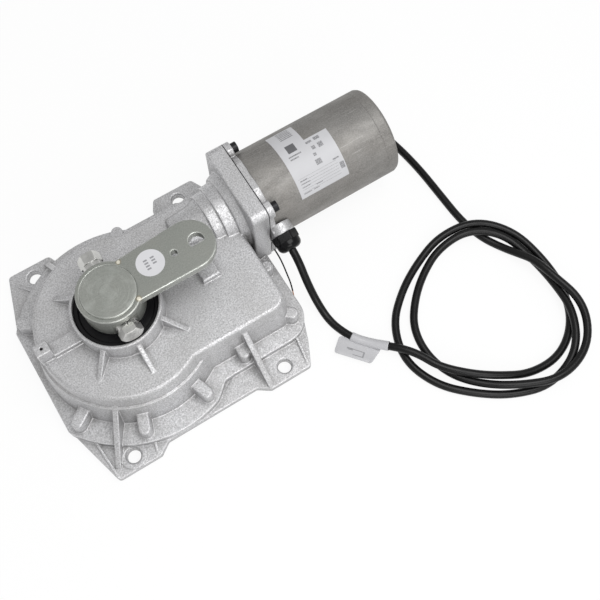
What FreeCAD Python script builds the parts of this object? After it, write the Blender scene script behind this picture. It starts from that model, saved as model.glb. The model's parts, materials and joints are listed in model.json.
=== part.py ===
import FreeCAD, Part
import math
import os

os.makedirs("parts", exist_ok=True)

# Underground gate opener: cast gear case with four feet, flange mounted motor, crank lever and lead.
# Millimetres. Origin at the middle of the four foot holes on the underside, +Z up along the output shaft,
# +X along the motor towards its rear end, -Y towards the side with the cable gland.

V = FreeCAD.Vector

# Clearances
SEAT_GAP = 0.05
FREE_GAP = 0.3

# Foot plate
HOLE_PITCH_X = 160.0
HOLE_PITCH_Y = 205.6
FOOT_HOLE_R = 6.5
FOOT_CHAMFER = 1.3
FOOT_HALF_WIDTH = 21.6
FOOT_END = 12.6
PLATE_T = 8.0
FLANGE_T = 8.0
LEFT_EDGE_X = -119.5
RIGHT_EDGE_X = 124.0
FRONT_EDGE_Y = -107.5
BACK_EDGE_Y = 97.0
FLANGE_FRONT_Y = -87.0
FLANGE_RIGHT_X = 123.4
FLANGE_CORNER_R = 26.0
RIM_W = 2.5

# Output shaft axis and the round part of the case
SHAFT_X = -27.2
SHAFT_Y = 0.0
FINAL_MODULE = 3.0
FINAL_GEAR_TEETH = 48
CAVITY_LOW_R = FINAL_MODULE * FINAL_GEAR_TEETH / 2.0 + 5.5
WALL_FOOT_R = CAVITY_LOW_R + 9.6
FLANGE_R = WALL_FOOT_R + 20.4
LUG_R = FLANGE_R - 9.5
LEDGE_Z = 47.8
LEDGE_R = WALL_FOOT_R - 4.8
LEDGE_W = 2.0
TOP_Z = 65.6
TOP_R = LEDGE_R - 3.8
CAVITY_HIGH_R = TOP_R - 4.5

# Gear box extension beside the round part
EXT_RIGHT_X = 106.0
EXT_FRONT_Y = -69.0
EXT_BACK_Y = 70.0
EXT_CORNER_R = 13.0
EXT_DRAFT = 2.5
EXT_BACK_DRAFT = 4.0

# Ring boss round the output shaft
RING_R = 40.5
RING_TOP_Z = 90.0
SEAL_R = 37.8
SEAL_FLOOR_Z = 77.0
SEAL_T = 8.5
TOP_RIB_TIP_R = 66.0
TOP_RIB_T = 4.2
TOP_RIB_RISE = 17.0

# Motor axis, gear flange and motor
MOTOR_Y = 43.5
MOTOR_Z = 55.0
MOTOR_R = 43.9
MOTOR_WALL = 4.0
MOTOR_END_X = 273.8
REAR_CAP_T = 12.0
SLAB_X = 112.0
SLAB_T = 16.5
SOCKET_HEAD_R = 5.0
SOCKET_HEAD_T = 6.0
FLANGE_SCREW_OFFSET = (MOTOR_R + SOCKET_HEAD_R + 2.0) / math.sqrt(2.0)
SLAB_HALF = FLANGE_SCREW_OFFSET + 7.5
SLAB_CORNER_R = 7.0
GASKET_T = 0.8
SHIELD_T = 6.0
PILOT_R = MOTOR_R - 12.9
PILOT_T = 3.0

# Worm stage: worm on the motor shaft, wheel on the first shaft
PRESSURE = math.radians(20.0)
WORM_MODULE = 1.6
WORM_R = 9.5
WHEEL_TEETH = 30
WHEEL_WIDTH = 10.0
TOOTH_PLAY = 0.36

# Spur stages
MID_MODULE = 1.5
MID_PINION_TEETH = 12
MID_GEAR_TEETH = 39
FINAL_PINION_TEETH = 12
PINION_SHIFT = 0.3
SECOND_Y = -24.0

# Gear levels
FINAL_GEAR_Z = 13.0
FINAL_GEAR_T = 20.0
MID_GEAR_Z = 35.0
MID_GEAR_T = 10.0

# Output shaft, hub, lever and its cross bolt
SHAFT_COLLAR_R = 24.3
SHAFT_COLLAR_Z = SEAL_FLOOR_Z - 0.5
SHAFT_BODY_R = 20.0
SHAFT_NECK_R = 19.0
GEAR_SEAT_R = 18.0
LOWER_JOURNAL_R = 15.0
HUB_R = 27.5
HUB_TOP_R = 24.3
BOLT_HEX = 18.5
HUB_Z = RING_TOP_Z + 0.4
LEVER_Z = HUB_Z + BOLT_HEX + 3.1
LEVER_T = 8.0
HUB_TOP_Z = LEVER_Z + LEVER_T + 1.0
SHAFT_END_Z = LEVER_Z - 2.5
LEVER_TURN = 1.7
LEVER_HUB_END_R = 28.0
LEVER_HALF_W = 20.5
LEVER_TIP_R = 23.3
LEVER_TIP_REACH = 78.5
SLOT_REACH = 86.0
SLOT_R = 7.0
SLOT_FLAT = 3.4
PEEP_REACH = 64.0
PEEP_R = 3.0
STICKER_REACH = 42.6
STICKER_SIDE = 3.4
STICKER_R = 12.5
BOLT_Z = LEVER_Z - 11.5
BOLT_R = 6.0
HUB_FLAT = 24.5
WASHER_R = BOLT_HEX * 0.5622
WASHER_T = 2.5
SPRING_T = 3.0
HEAD_T = 7.5
NUT_T = 10.0
BOLT_END_Y = 46.5

# Cable, gland and tag
CABLE_R = 3.9
GLAND_X = SLAB_X + 27.0
GLAND_Z = MOTOR_Z - 3.0
GLAND_R = 11.8
GLAND_END_Y = MOTOR_Y - SLAB_HALF - 22.0
COIL_X = 269.5
COIL_Y = -156.0
COIL_HALF_X = 96.5
COIL_HALF_Y = 90.0
COIL_W = 30.0
COIL_H = 18.0


# Small makers

def cyl_z(radius, z0, z1, x=0.0, y=0.0):
    return Part.makeCylinder(radius, z1 - z0, V(x, y, z0))


def cyl_x(radius, x0, x1, y=MOTOR_Y, z=MOTOR_Z):
    return Part.makeCylinder(radius, x1 - x0, V(x0, y, z), V(1, 0, 0))


def cyl_y(radius, y0, y1, x, z):
    return Part.makeCylinder(radius, y1 - y0, V(x, y0, z), V(0, 1, 0))


def box(x0, x1, y0, y1, z0, z1):
    return Part.makeBox(x1 - x0, y1 - y0, z1 - z0, V(x0, y0, z0))


def polygon(points):
    return Part.Face(Part.makePolygon(points + [points[0]]))


def prism(points, z0, z1):
    face = polygon([V(x, y, z0) for x, y in points])
    return face.extrude(V(0, 0, z1 - z0))


def rounded_wire(x0, x1, y0, y1, radius, z):
    s = radius * (1.0 - math.sqrt(0.5))
    edges = [
        Part.LineSegment(V(x0 + radius, y0, z), V(x1 - radius, y0, z)).toShape(),
        Part.Arc(V(x1 - radius, y0, z), V(x1 - s, y0 + s, z), V(x1, y0 + radius, z)).toShape(),
        Part.LineSegment(V(x1, y0 + radius, z), V(x1, y1 - radius, z)).toShape(),
        Part.Arc(V(x1, y1 - radius, z), V(x1 - s, y1 - s, z), V(x1 - radius, y1, z)).toShape(),
        Part.LineSegment(V(x1 - radius, y1, z), V(x0 + radius, y1, z)).toShape(),
        Part.Arc(V(x0 + radius, y1, z), V(x0 + s, y1 - s, z), V(x0, y1 - radius, z)).toShape(),
        Part.LineSegment(V(x0, y1 - radius, z), V(x0, y0 + radius, z)).toShape(),
        Part.Arc(V(x0, y0 + radius, z), V(x0 + s, y0 + s, z), V(x0 + radius, y0, z)).toShape(),
    ]
    return Part.Wire(edges)


def rounded_box(x0, x1, y0, y1, radius, z0, z1):
    return Part.Face(rounded_wire(x0, x1, y0, y1, radius, z0)).extrude(V(0, 0, z1 - z0))


def tapered_box(low, high, radius, z0, z1):
    return Part.makeLoft([rounded_wire(*low, radius, z0), rounded_wire(*high, radius, z1)], True, True)


def turned_z(profile, x=SHAFT_X, y=SHAFT_Y):
    face = polygon([V(x + r, y, z) for r, z in profile])
    return face.revolve(V(x, y, 0), V(0, 0, 1), 360)


def turned_x(profile, y=MOTOR_Y, z=MOTOR_Z):
    face = polygon([V(x, y, z + r) for x, r in profile])
    return face.revolve(V(0, y, z), V(1, 0, 0), 360)


def turned_y(profile, x, z):
    face = polygon([V(x, y, z + r) for y, r in profile])
    return face.revolve(V(x, 0, z), V(0, 1, 0), 360)


def tube_z(outer, inner, z0, z1, x=SHAFT_X, y=SHAFT_Y):
    return cyl_z(outer, z0, z1, x, y).cut(cyl_z(inner, z0 - 1, z1 + 1, x, y))


def tube_x(outer, inner, x0, x1):
    return cyl_x(outer, x0, x1).cut(cyl_x(inner, x0 - 1, x1 + 1))


def join(shapes):
    first = shapes[0]
    return first.multiFuse(shapes[1:]).removeSplitter()


def cut_all(body, tools):
    return body.cut(Part.makeCompound(tools)) if tools else body


def radial(angle_deg, radius, z):
    a = math.radians(angle_deg)
    return V(SHAFT_X + radius * math.cos(a), SHAFT_Y + radius * math.sin(a), z)


def web(p0, p1, p2, thickness, p3=None):
    """A flat rib through three or four points of one upright plane, with its thickness shared both ways."""
    points = [p0, p1, p2] + ([p3] if p3 else [])
    face = polygon(points)
    along = V(p1.x - p0.x, p1.y - p0.y, 0)
    if along.Length < 0.001:
        along = V(p2.x - p0.x, p2.y - p0.y, 0)
    side = V(-along.y, along.x, 0).normalize() * (thickness / 2.0)
    face.translate(side.negative())
    return face.extrude(side * 2.0)


def round_top(solid, radius, z):
    """The solid with every edge at one height rounded off."""
    edges = [e for e in solid.Edges if all(abs(v.Z - z) < 0.01 for v in e.Vertexes)]
    return solid.makeFillet(radius, edges)


def hexagon(across, thickness, base, direction, turn=0.0):
    reach = across / math.sqrt(3.0)
    corners = []
    for i in range(6):
        a = math.radians(60.0 * i + turn)
        corners.append(V(reach * math.cos(a), reach * math.sin(a), 0))
    solid = polygon(corners).extrude(V(0, 0, thickness))
    solid.Placement = FreeCAD.Placement(base, FreeCAD.Rotation(V(0, 0, 1), direction))
    return solid


def export(name, shape):
    solids = shape.Solids
    bad = [s for s in solids if not s.isValid()]
    if bad or not solids:
        print("CHECK", name, "solids", len(solids), "invalid", len(bad))
    out = solids[0] if len(solids) == 1 else Part.makeCompound(solids)
    out.exportStep("parts/" + name + ".step")
    print(name, len(solids), round(shape.Volume / 1000.0, 2))


# Involute teeth

def involute(angle):
    return math.tan(angle) - angle


def tooth_angles(module, teeth, shift, play):
    """Radii of root, flank start, flank middle and tip, with the half angle of the tooth at each."""
    pitch_r = module * teeth / 2.0
    base_r = pitch_r * math.cos(PRESSURE)
    tip_r = pitch_r + module * (1.0 + shift)
    root_r = pitch_r - module * (1.25 - shift)
    start_r = max(base_r, root_r)
    thickness = module * (math.pi / 2.0 + 2.0 * shift * math.tan(PRESSURE)) - play
    middle = thickness / (2.0 * pitch_r) + involute(PRESSURE)

    def half(radius):
        return middle - involute(math.acos(min(1.0, base_r / radius)))

    mid_r = (start_r + 1.4 * tip_r) / 2.4
    return root_r, start_r, mid_r, tip_r, half(start_r), half(mid_r), half(tip_r)


def gear_wire(module, teeth, shift, play, x, y, z, first_tooth):
    root_r, start_r, mid_r, tip_r, a_start, a_mid, a_tip = tooth_angles(module, teeth, shift, play)
    step = 2.0 * math.pi / teeth

    def at(radius, angle):
        return V(x + radius * math.cos(angle), y + radius * math.sin(angle), z)

    edges = []
    for i in range(teeth):
        c = first_tooth + i * step
        left_root = at(root_r, c - a_start)
        left = at(start_r, c - a_start)
        right = at(start_r, c + a_start)
        right_root = at(root_r, c + a_start)
        if start_r - root_r > 0.001:
            edges.append(Part.LineSegment(left_root, left).toShape())
        edges.append(Part.Arc(left, at(mid_r, c - a_mid), at(tip_r, c - a_tip)).toShape())
        edges.append(Part.Arc(at(tip_r, c - a_tip), at(tip_r, c), at(tip_r, c + a_tip)).toShape())
        edges.append(Part.Arc(at(tip_r, c + a_tip), at(mid_r, c + a_mid), right).toShape())
        if start_r - root_r > 0.001:
            edges.append(Part.LineSegment(right, right_root).toShape())
        space = c + step / 2.0
        next_root = at(root_r, c + step - a_start)
        edges.append(Part.Arc(right_root, at(root_r, space), next_root).toShape())
    return Part.Wire(edges)


def spur_gear(module, teeth, shift, x, y, z0, width, first_tooth):
    wire = gear_wire(module, teeth, shift, TOOTH_PLAY / 2.0, x, y, z0, first_tooth)
    return Part.Face(wire).extrude(V(0, 0, width))


# Shaft places that follow from the teeth
WHEEL_R = WORM_MODULE * WHEEL_TEETH / 2.0
FIRST_Y = MOTOR_Y - WORM_R - WHEEL_R
FINAL_CENTRES = FINAL_MODULE * (FINAL_PINION_TEETH + FINAL_GEAR_TEETH) / 2.0
SECOND_X = SHAFT_X + math.sqrt(FINAL_CENTRES ** 2 - (SECOND_Y - SHAFT_Y) ** 2)
MID_CENTRES = MID_MODULE * (MID_PINION_TEETH + MID_GEAR_TEETH) / 2.0
FIRST_X = SECOND_X + math.sqrt(MID_CENTRES ** 2 - (FIRST_Y - SECOND_Y) ** 2)
MID_PLANE_Z = MOTOR_Z


# Case outlines shared by the flange, the cover and its gasket

def plate_outline(inset, z0, z1):
    """Round plate with a square extension to the right, drawn in by the inset all round."""
    disc = cyl_z(FLANGE_R - inset, z0, z1, SHAFT_X, SHAFT_Y)
    disc = disc.cut(box(-3 * FLANGE_R, LEFT_EDGE_X + inset, -2 * FLANGE_R, 2 * FLANGE_R, z0 - 1, z1 + 1))
    right = rounded_box(SHAFT_X, FLANGE_RIGHT_X - inset, FLANGE_FRONT_Y + inset, BACK_EDGE_Y - inset,
                        FLANGE_CORNER_R - inset, z0, z1)
    return join([disc, right])


def round_uprights(solid, radius):
    uprights = [e for e in solid.Edges if abs(e.tangentAt(e.FirstParameter).z) > 0.999]
    return solid.makeFillet(radius, uprights)


# Places of the cover screws with the way each blind boss points
LUG_HALF_W = 5.75
LUG_BACK = 24.0
LUG_TOP_Z = 33.0
LUG_ANGLES = [215.0, 251.0, 288.6, 68.0, 146.0]
screw_places = []
for lug_angle in LUG_ANGLES:
    foot = radial(lug_angle, LUG_R, 0)
    screw_places.append((foot.x, foot.y, lug_angle))
screw_places.append((52.0, -78.5, 270.0))
screw_places.append((109.5, -69.0, 318.0))
screw_places.append((114.0, -16.0, 0.0))
foot_places = []
for side_x in (-1, 1):
    for side_y in (-1, 1):
        foot_places.append((side_x * HOLE_PITCH_X / 2.0, side_y * HOLE_PITCH_Y / 2.0))

# Feet and rim on the ground
foot_in = HOLE_PITCH_X / 2.0 - FOOT_HALF_WIDTH
foot_out = HOLE_PITCH_X / 2.0 + FOOT_HALF_WIDTH
foot_y = HOLE_PITCH_Y / 2.0 + FOOT_END
ground_points = [
    (-foot_out, -foot_y), (-foot_in, -foot_y), (-foot_in + 11.4, FRONT_EDGE_Y),
    (foot_in - 11.4, FRONT_EDGE_Y), (foot_in, -foot_y), (foot_out, -foot_y),
    (112.5, -93.0), (RIGHT_EDGE_X, -62.0), (RIGHT_EDGE_X, 84.0), (108.0, 102.7),
    (foot_out, foot_y), (foot_in, foot_y), (52.0, 104.0), (52.0, BACK_EDGE_Y),
    (-50.0, BACK_EDGE_Y), (-foot_in, foot_y), (-foot_out, foot_y),
    (LEFT_EDGE_X, 57.0), (LEFT_EDGE_X, -50.0),
]
ground = round_uprights(prism(ground_points, 0, PLATE_T), 4.0)
wall_low_z = PLATE_T + FLANGE_T
# Hollow in the flange's edge where the round part meets the straight part
flange_notch = prism([(9.5, -101.4), (15.3, -97.0), (26.0, FLANGE_FRONT_Y - 0.5), (36.0, FLANGE_FRONT_Y),
                      (36.0, -112.0), (9.5, -112.0)], PLATE_T, wall_low_z + 1)
plate = plate_outline(0, 0, wall_low_z).cut(flange_notch)
TOP_ROUND = 3.0
EDGE_ROUND = 1.5
round_wall = turned_z([(0, 1), (WALL_FOOT_R, 1), (WALL_FOOT_R, wall_low_z), (LEDGE_R, LEDGE_Z),
                       (LEDGE_R - LEDGE_W, LEDGE_Z), (TOP_R, TOP_Z), (0, TOP_Z)])
round_wall = round_top(round_wall, TOP_ROUND, TOP_Z)
extension_low = (SHAFT_X, EXT_RIGHT_X + EXT_BACK_DRAFT, EXT_FRONT_Y - EXT_DRAFT, EXT_BACK_Y + EXT_BACK_DRAFT)
extension_high = (SHAFT_X, EXT_RIGHT_X, EXT_FRONT_Y, EXT_BACK_Y)
extension = tapered_box(extension_low, extension_high, EXT_CORNER_R, wall_low_z, TOP_Z)
extension = round_top(extension, TOP_ROUND, TOP_Z)
ring_boss = round_top(cyl_z(RING_R, TOP_Z - 1, RING_TOP_Z, SHAFT_X, SHAFT_Y), 1.0, RING_TOP_Z)
# Worm housing: a cone with two stepped rings that widens into the motor flange
worm_bulge = turned_x([(46, 0), (48, 6), (50.5, 11.5), (54, 15.5), (82.4, 24.6), (83.2, 27.2), (92.4, 28.2),
                       (93.2, 31.0), (103.6, 32.0), (104.4, 34.8), (SLAB_X, 38.5), (SLAB_X + 1, 38.5),
                       (SLAB_X + 1, 0)])
slab_low = MOTOR_Y - SLAB_HALF
slab_high = MOTOR_Y + SLAB_HALF
slab_top = MOTOR_Z + SLAB_HALF
slab_end = SLAB_X + SLAB_T


def square_plate(x0, x1, z_low):
    """Upright square plate round the motor axis with rounded corners, reaching down to z_low."""
    flat = rounded_box(z_low, slab_top, slab_low, slab_high, SLAB_CORNER_R, 0, x1 - x0)
    flat.Placement = FreeCAD.Placement(V(x1, 0, 0), FreeCAD.Rotation(V(0, 1, 0), -90))
    return flat


slab = square_plate(SLAB_X, slab_end, PLATE_T)
slab_rim = [e for e in slab.Edges if all(abs(v.X - SLAB_X) < 0.01 for v in e.Vertexes)]
slab = slab.makeFillet(EDGE_ROUND, slab_rim)
case_parts = [ground, plate, round_wall, extension, ring_boss, worm_bulge, slab]

# Bosses for the cover screws
for px, py, way in screw_places:
    bridge = box(-LUG_BACK, 0, -LUG_HALF_W, LUG_HALF_W, PLATE_T, LUG_TOP_Z)
    lug = round_top(join([cyl_z(LUG_HALF_W, PLATE_T, LUG_TOP_Z), bridge]), EDGE_ROUND, LUG_TOP_Z)
    lug.Placement = FreeCAD.Placement(V(px, py, 0), FreeCAD.Rotation(V(0, 0, 1), way))
    case_parts.append(lug)

# Ribs from the ring boss, the bar to the rear post, the post and the stop under the lever
for angle in (45, 90, 135, 225, 270, 315):
    case_parts.append(web(radial(angle, RING_R - 2, TOP_Z - 2), radial(angle, TOP_RIB_TIP_R, TOP_Z - 2),
                          radial(angle, RING_R - 2, TOP_Z + TOP_RIB_RISE + 1.5), TOP_RIB_T))
case_parts.append(box(-94.0, SHAFT_X - RING_R + 3, -6.5, 6.5, TOP_Z - 2, TOP_Z + 6.0))
case_parts.append(box(-106.5, -93.5, -5.5, 5.5, LEDGE_Z, 84.0))
stop_z = TOP_Z + 5.9
case_parts.append(round_top(box(50.5, 68.0, -14.5, 14.5, TOP_Z - 2, stop_z), EDGE_ROUND, stop_z))

# Ribs down to the feet
RIB_T = 5.0
case_parts.append(web(radial(236.6, 76, 7), radial(236.6, 127, 7), radial(236.6, 127, 9), RIB_T,
                      radial(236.6, 76, 53)))
case_parts.append(web(V(59.5, -64, 7), V(59.5, -114, 7), V(59.5, -114, 9), RIB_T, V(59.5, -64, 60)))
case_parts.append(web(V(-55, 70, 7), V(-63.5, 110, 7), V(-63.5, 110, 9), RIB_T, V(-55, 70, 56)))
WEB_T = 2.4
low_webs = [((-104, -66), (-100.5, -113)), ((-56, -96), (-60, -113)), ((104, -86), (100, -113)),
            ((54, 92), (61, 113)), ((-84, 85), (-99, 104)), ((-80, 87), (-103, 74))]
for (ax, ay), (bx, by) in low_webs:
    case_parts.append(web(V(ax, ay, PLATE_T - 1), V(bx, by, PLATE_T - 1), V(bx, by, PLATE_T + 0.3), WEB_T,
                          V(ax, ay, PLATE_T + 4.0)))
case_parts.append(cyl_z(12.4, PLATE_T - 1, PLATE_T + 1.5, -HOLE_PITCH_X / 2.0, -HOLE_PITCH_Y / 2.0))
outer = join(case_parts)

# Room inside the case
CAVITY_STEP_Z = 44.0
CEILING_Z = 61.0
CAVITY_RIGHT_X = 104.2
CAVITY_FRONT_Y = -64.0
CAVITY_BACK_Y = 66.0
cavity = join([
    cyl_z(CAVITY_LOW_R, PLATE_T - 1, CAVITY_STEP_Z, SHAFT_X, SHAFT_Y),
    cyl_z(CAVITY_HIGH_R, CAVITY_STEP_Z - 1, CEILING_Z, SHAFT_X, SHAFT_Y),
    rounded_box(SHAFT_X, CAVITY_RIGHT_X, CAVITY_FRONT_Y, CAVITY_BACK_Y, 8.0, PLATE_T - 1, CEILING_Z),
])

# Hanging bosses and bearing blocks that stay in that room
BOSS_BEARING_X = 105.5
BEARING_R = 17.5
BEARING_T = 11.0
BEARING_BORE = 7.5
FRONT_BLOCK_X0 = 44.0
FRONT_BLOCK_X1 = 56.0
second_boss_z = 47.0
first_boss_z = 53.5
cavity = cut_all(cavity, [
    cyl_z(11.5, second_boss_z, CEILING_Z + 1, SECOND_X, SECOND_Y),
    cyl_z(11.0, first_boss_z, CEILING_Z + 1, FIRST_X, FIRST_Y),
    box(FRONT_BLOCK_X0, FRONT_BLOCK_X1, MOTOR_Y - 14, MOTOR_Y + 14, MOTOR_Z - 14, CEILING_Z + 1),
    cyl_x(20.0, 99.5, 110.0),
])
BUSH_JOURNAL = 6.0
FRONT_BUSH_R = 9.0
SECOND_JOURNAL = 7.5
SECOND_BUSH_R = 9.5
FIRST_JOURNAL = 6.0
FIRST_BUSH_R = 8.0
UPPER_BUSH_R = 31.0
UPPER_BUSH_Z = 64.0
UPPER_BUSH_T = 12.0
hole_tools = [
    cavity,
    plate_outline(RIM_W, -1, PLATE_T),
    cyl_x(12.2, FRONT_BLOCK_X1, 99.5),
    cyl_x(FRONT_BUSH_R, FRONT_BLOCK_X0 + 2, FRONT_BLOCK_X1 + 1),
    cyl_x(14.0, 99.0, BOSS_BEARING_X + 1),
    cyl_x(BEARING_R, BOSS_BEARING_X, slab_end + 1),
    cyl_x(PILOT_R + 0.2, slab_end - PILOT_T - 0.2, slab_end + 1),
    cyl_z(SECOND_BUSH_R, second_boss_z - 1, CEILING_Z - 0.5, SECOND_X, SECOND_Y),
    cyl_z(FIRST_BUSH_R, first_boss_z - 1, CEILING_Z + 1.5, FIRST_X, FIRST_Y),
    cyl_z(28.0, CEILING_Z - 1, UPPER_BUSH_Z + 1, SHAFT_X, SHAFT_Y),
    cyl_z(UPPER_BUSH_R, UPPER_BUSH_Z, SEAL_FLOOR_Z + 1, SHAFT_X, SHAFT_Y),
    cyl_z(SEAL_R, SEAL_FLOOR_Z, RING_TOP_Z + 1, SHAFT_X, SHAFT_Y),
    cyl_z(1.5, 70.0, 85.0, -100.0, 0.0),
]
for px, py in foot_places:
    hole_tools.append(cyl_z(FOOT_HOLE_R, -1, 20, px, py))
    hole_tools.append(turned_z([(0, PLATE_T - FOOT_CHAMFER), (FOOT_HOLE_R, PLATE_T - FOOT_CHAMFER),
                                (FOOT_HOLE_R + FOOT_CHAMFER, PLATE_T), (FOOT_HOLE_R + FOOT_CHAMFER, 24),
                                (0, 24)], px, py))
SCREW_R = 2.5
SCREW_END_Z = 24.0
for px, py, way in screw_places:
    hole_tools.append(cyl_z(SCREW_R + SEAT_GAP, PLATE_T - 1, SCREW_END_Z + 2, px, py))
flange_screw_places = []
for side_y in (-1, 1):
    for side_z in (-1, 1):
        flange_screw_places.append((MOTOR_Y + side_y * FLANGE_SCREW_OFFSET,
                                    MOTOR_Z + side_z * FLANGE_SCREW_OFFSET))
FLANGE_SCREW_R = 3.0
for py, pz in flange_screw_places:
    hole_tools.append(cyl_x(FLANGE_SCREW_R + SEAT_GAP, slab_end - 13, slab_end + 1, py, pz))
gear_case = cut_all(outer, hole_tools)
export("gear_case", gear_case)

# Bottom cover with three bearing bosses, its gasket and its countersunk screws
COVER_Z0 = 1.0
COVER_Z1 = 7.0
BUSH_LOW_Z = 2.0
LOWER_BUSH_R = 18.0
lower_boss_z = 10.5
second_low_z = 11.5
first_low_z = 12.0
cover = join([
    plate_outline(RIM_W + FREE_GAP, COVER_Z0, COVER_Z1),
    cyl_z(21.0, COVER_Z1 - 1, lower_boss_z, SHAFT_X, SHAFT_Y),
    cyl_z(12.0, COVER_Z1 - 1, second_low_z, SECOND_X, SECOND_Y),
    cyl_z(10.0, COVER_Z1 - 1, first_low_z, FIRST_X, FIRST_Y),
])
SCREW_HEAD_R = 4.7
SCREW_HEAD_T = 2.6
screw_profile = [(0, COVER_Z0), (SCREW_HEAD_R, COVER_Z0), (SCREW_R, COVER_Z0 + SCREW_HEAD_T),
                 (SCREW_R, SCREW_END_Z), (0, SCREW_END_Z)]
cover_tools = [
    cyl_z(LOWER_BUSH_R, BUSH_LOW_Z, 20, SHAFT_X, SHAFT_Y),
    cyl_z(SECOND_BUSH_R, BUSH_LOW_Z, 20, SECOND_X, SECOND_Y),
    cyl_z(FIRST_BUSH_R, BUSH_LOW_Z, 20, FIRST_X, FIRST_Y),
]
gasket = plate_outline(RIM_W + FREE_GAP, COVER_Z1, PLATE_T)
gasket = gasket.cut(cavity)
gasket_tools = []
cover_screws = []
for px, py, way in screw_places:
    screw = turned_z(screw_profile, px, py)
    socket = hexagon(3.0, 1.6, V(px, py, COVER_Z0 - 0.1), V(0, 0, 1))
    cover_screws.append(screw.cut(socket))
    cover_tools.append(screw)
    gasket_tools.append(cyl_z(SCREW_R + FREE_GAP, 0, 20, px, py))
cover = cut_all(cover, cover_tools)
export("bottom_cover", cover)
export("case_gasket", cut_all(gasket, gasket_tools))
export("cover_screws", Part.makeCompound(cover_screws))

# Bushes and the shaft seal
BUSH_GAP = 0.04
export("lower_bush", tube_z(LOWER_BUSH_R, LOWER_JOURNAL_R + BUSH_GAP, BUSH_LOW_Z, lower_boss_z))
export("upper_bush", tube_z(UPPER_BUSH_R, SHAFT_BODY_R + BUSH_GAP, UPPER_BUSH_Z, UPPER_BUSH_Z + UPPER_BUSH_T))
export("second_shaft_bushes", Part.makeCompound([
    tube_z(SECOND_BUSH_R, SECOND_JOURNAL + BUSH_GAP, BUSH_LOW_Z, second_low_z, SECOND_X, SECOND_Y),
    tube_z(SECOND_BUSH_R, SECOND_JOURNAL + BUSH_GAP, second_boss_z, CEILING_Z - 0.5, SECOND_X, SECOND_Y),
]))
export("first_shaft_bushes", Part.makeCompound([
    tube_z(FIRST_BUSH_R, FIRST_JOURNAL + BUSH_GAP, BUSH_LOW_Z, first_low_z, FIRST_X, FIRST_Y),
    tube_z(FIRST_BUSH_R, FIRST_JOURNAL + BUSH_GAP, first_boss_z, CEILING_Z + 1.5, FIRST_X, FIRST_Y),
]))
export("worm_bush", tube_x(FRONT_BUSH_R, BUSH_JOURNAL + BUSH_GAP, FRONT_BLOCK_X0 + 2, FRONT_BLOCK_X1))
seal_lip = SHAFT_COLLAR_R + BUSH_GAP
seal_top = SEAL_FLOOR_Z + SEAL_T
export("shaft_seal", turned_z([(seal_lip, SEAL_FLOOR_Z), (SEAL_R, SEAL_FLOOR_Z), (SEAL_R, seal_top - 1),
                               (SEAL_R - 1, seal_top), (SEAL_R - 4, seal_top), (SEAL_R - 5, seal_top - 2),
                               (seal_lip + 3, seal_top - 2), (seal_lip + 2, seal_top - 0.5),
                               (seal_lip, seal_top - 0.5)]))

# Output shaft with its neck for the lever hub, key seat and ring groove
KEY_W = 10.0
KEY_H = 8.0
KEY_DEPTH = 5.0
RING_GROOVE_Z = 11.2
RING_GROOVE_T = 1.8
gear_top = FINAL_GEAR_Z + FINAL_GEAR_T
output_shaft = turned_z([(0, BUSH_LOW_Z), (LOWER_JOURNAL_R, BUSH_LOW_Z), (LOWER_JOURNAL_R, 10.8),
                         (GEAR_SEAT_R, 10.8), (GEAR_SEAT_R, gear_top), (SHAFT_BODY_R, gear_top),
                         (SHAFT_BODY_R, SHAFT_COLLAR_Z), (SHAFT_COLLAR_R, SHAFT_COLLAR_Z),
                         (SHAFT_COLLAR_R, HUB_Z), (SHAFT_NECK_R, HUB_Z), (SHAFT_NECK_R, SHAFT_END_Z - 1),
                         (SHAFT_NECK_R - 1, SHAFT_END_Z), (0, SHAFT_END_Z)])
key_x = SHAFT_X - GEAR_SEAT_R + KEY_DEPTH
key_z0 = FINAL_GEAR_Z + 2
key_z1 = gear_top - 2
output_shaft = cut_all(output_shaft, [
    box(SHAFT_X - 30, key_x, -KEY_W / 2, KEY_W / 2, key_z0, key_z1),
    tube_z(30, GEAR_SEAT_R - 1, RING_GROOVE_Z, RING_GROOVE_Z + RING_GROOVE_T),
    cyl_y(BOLT_R + 0.3, -60, 60, SHAFT_X, BOLT_Z),
])
export("output_shaft", output_shaft)
export("output_key", box(key_x - KEY_H, key_x, -KEY_W / 2, KEY_W / 2, key_z0, key_z1))
circlip = tube_z(21.0, GEAR_SEAT_R - 1, RING_GROOVE_Z, RING_GROOVE_Z + RING_GROOVE_T)
export("output_circlip", circlip.cut(box(SHAFT_X, SHAFT_X + 30, -3, 3, 0, 30)))

# Output gear, dished on both faces
final_angle = math.atan2(SECOND_Y - SHAFT_Y, SECOND_X - SHAFT_X)
final_gear = spur_gear(FINAL_MODULE, FINAL_GEAR_TEETH, -PINION_SHIFT, SHAFT_X, SHAFT_Y, FINAL_GEAR_Z,
                       FINAL_GEAR_T, final_angle + math.pi / FINAL_GEAR_TEETH)
DISH = 5.0
final_gear = cut_all(final_gear, [
    cyl_z(GEAR_SEAT_R, 0, 60, SHAFT_X, SHAFT_Y),
    tube_z(59.0, 28.0, FINAL_GEAR_Z - 1, FINAL_GEAR_Z + DISH),
    tube_z(59.0, 28.0, gear_top - DISH, gear_top + 1),
    box(key_x - KEY_H - FREE_GAP, SHAFT_X, -KEY_W / 2, KEY_W / 2, 0, 60),
])
export("output_gear", final_gear)

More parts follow.
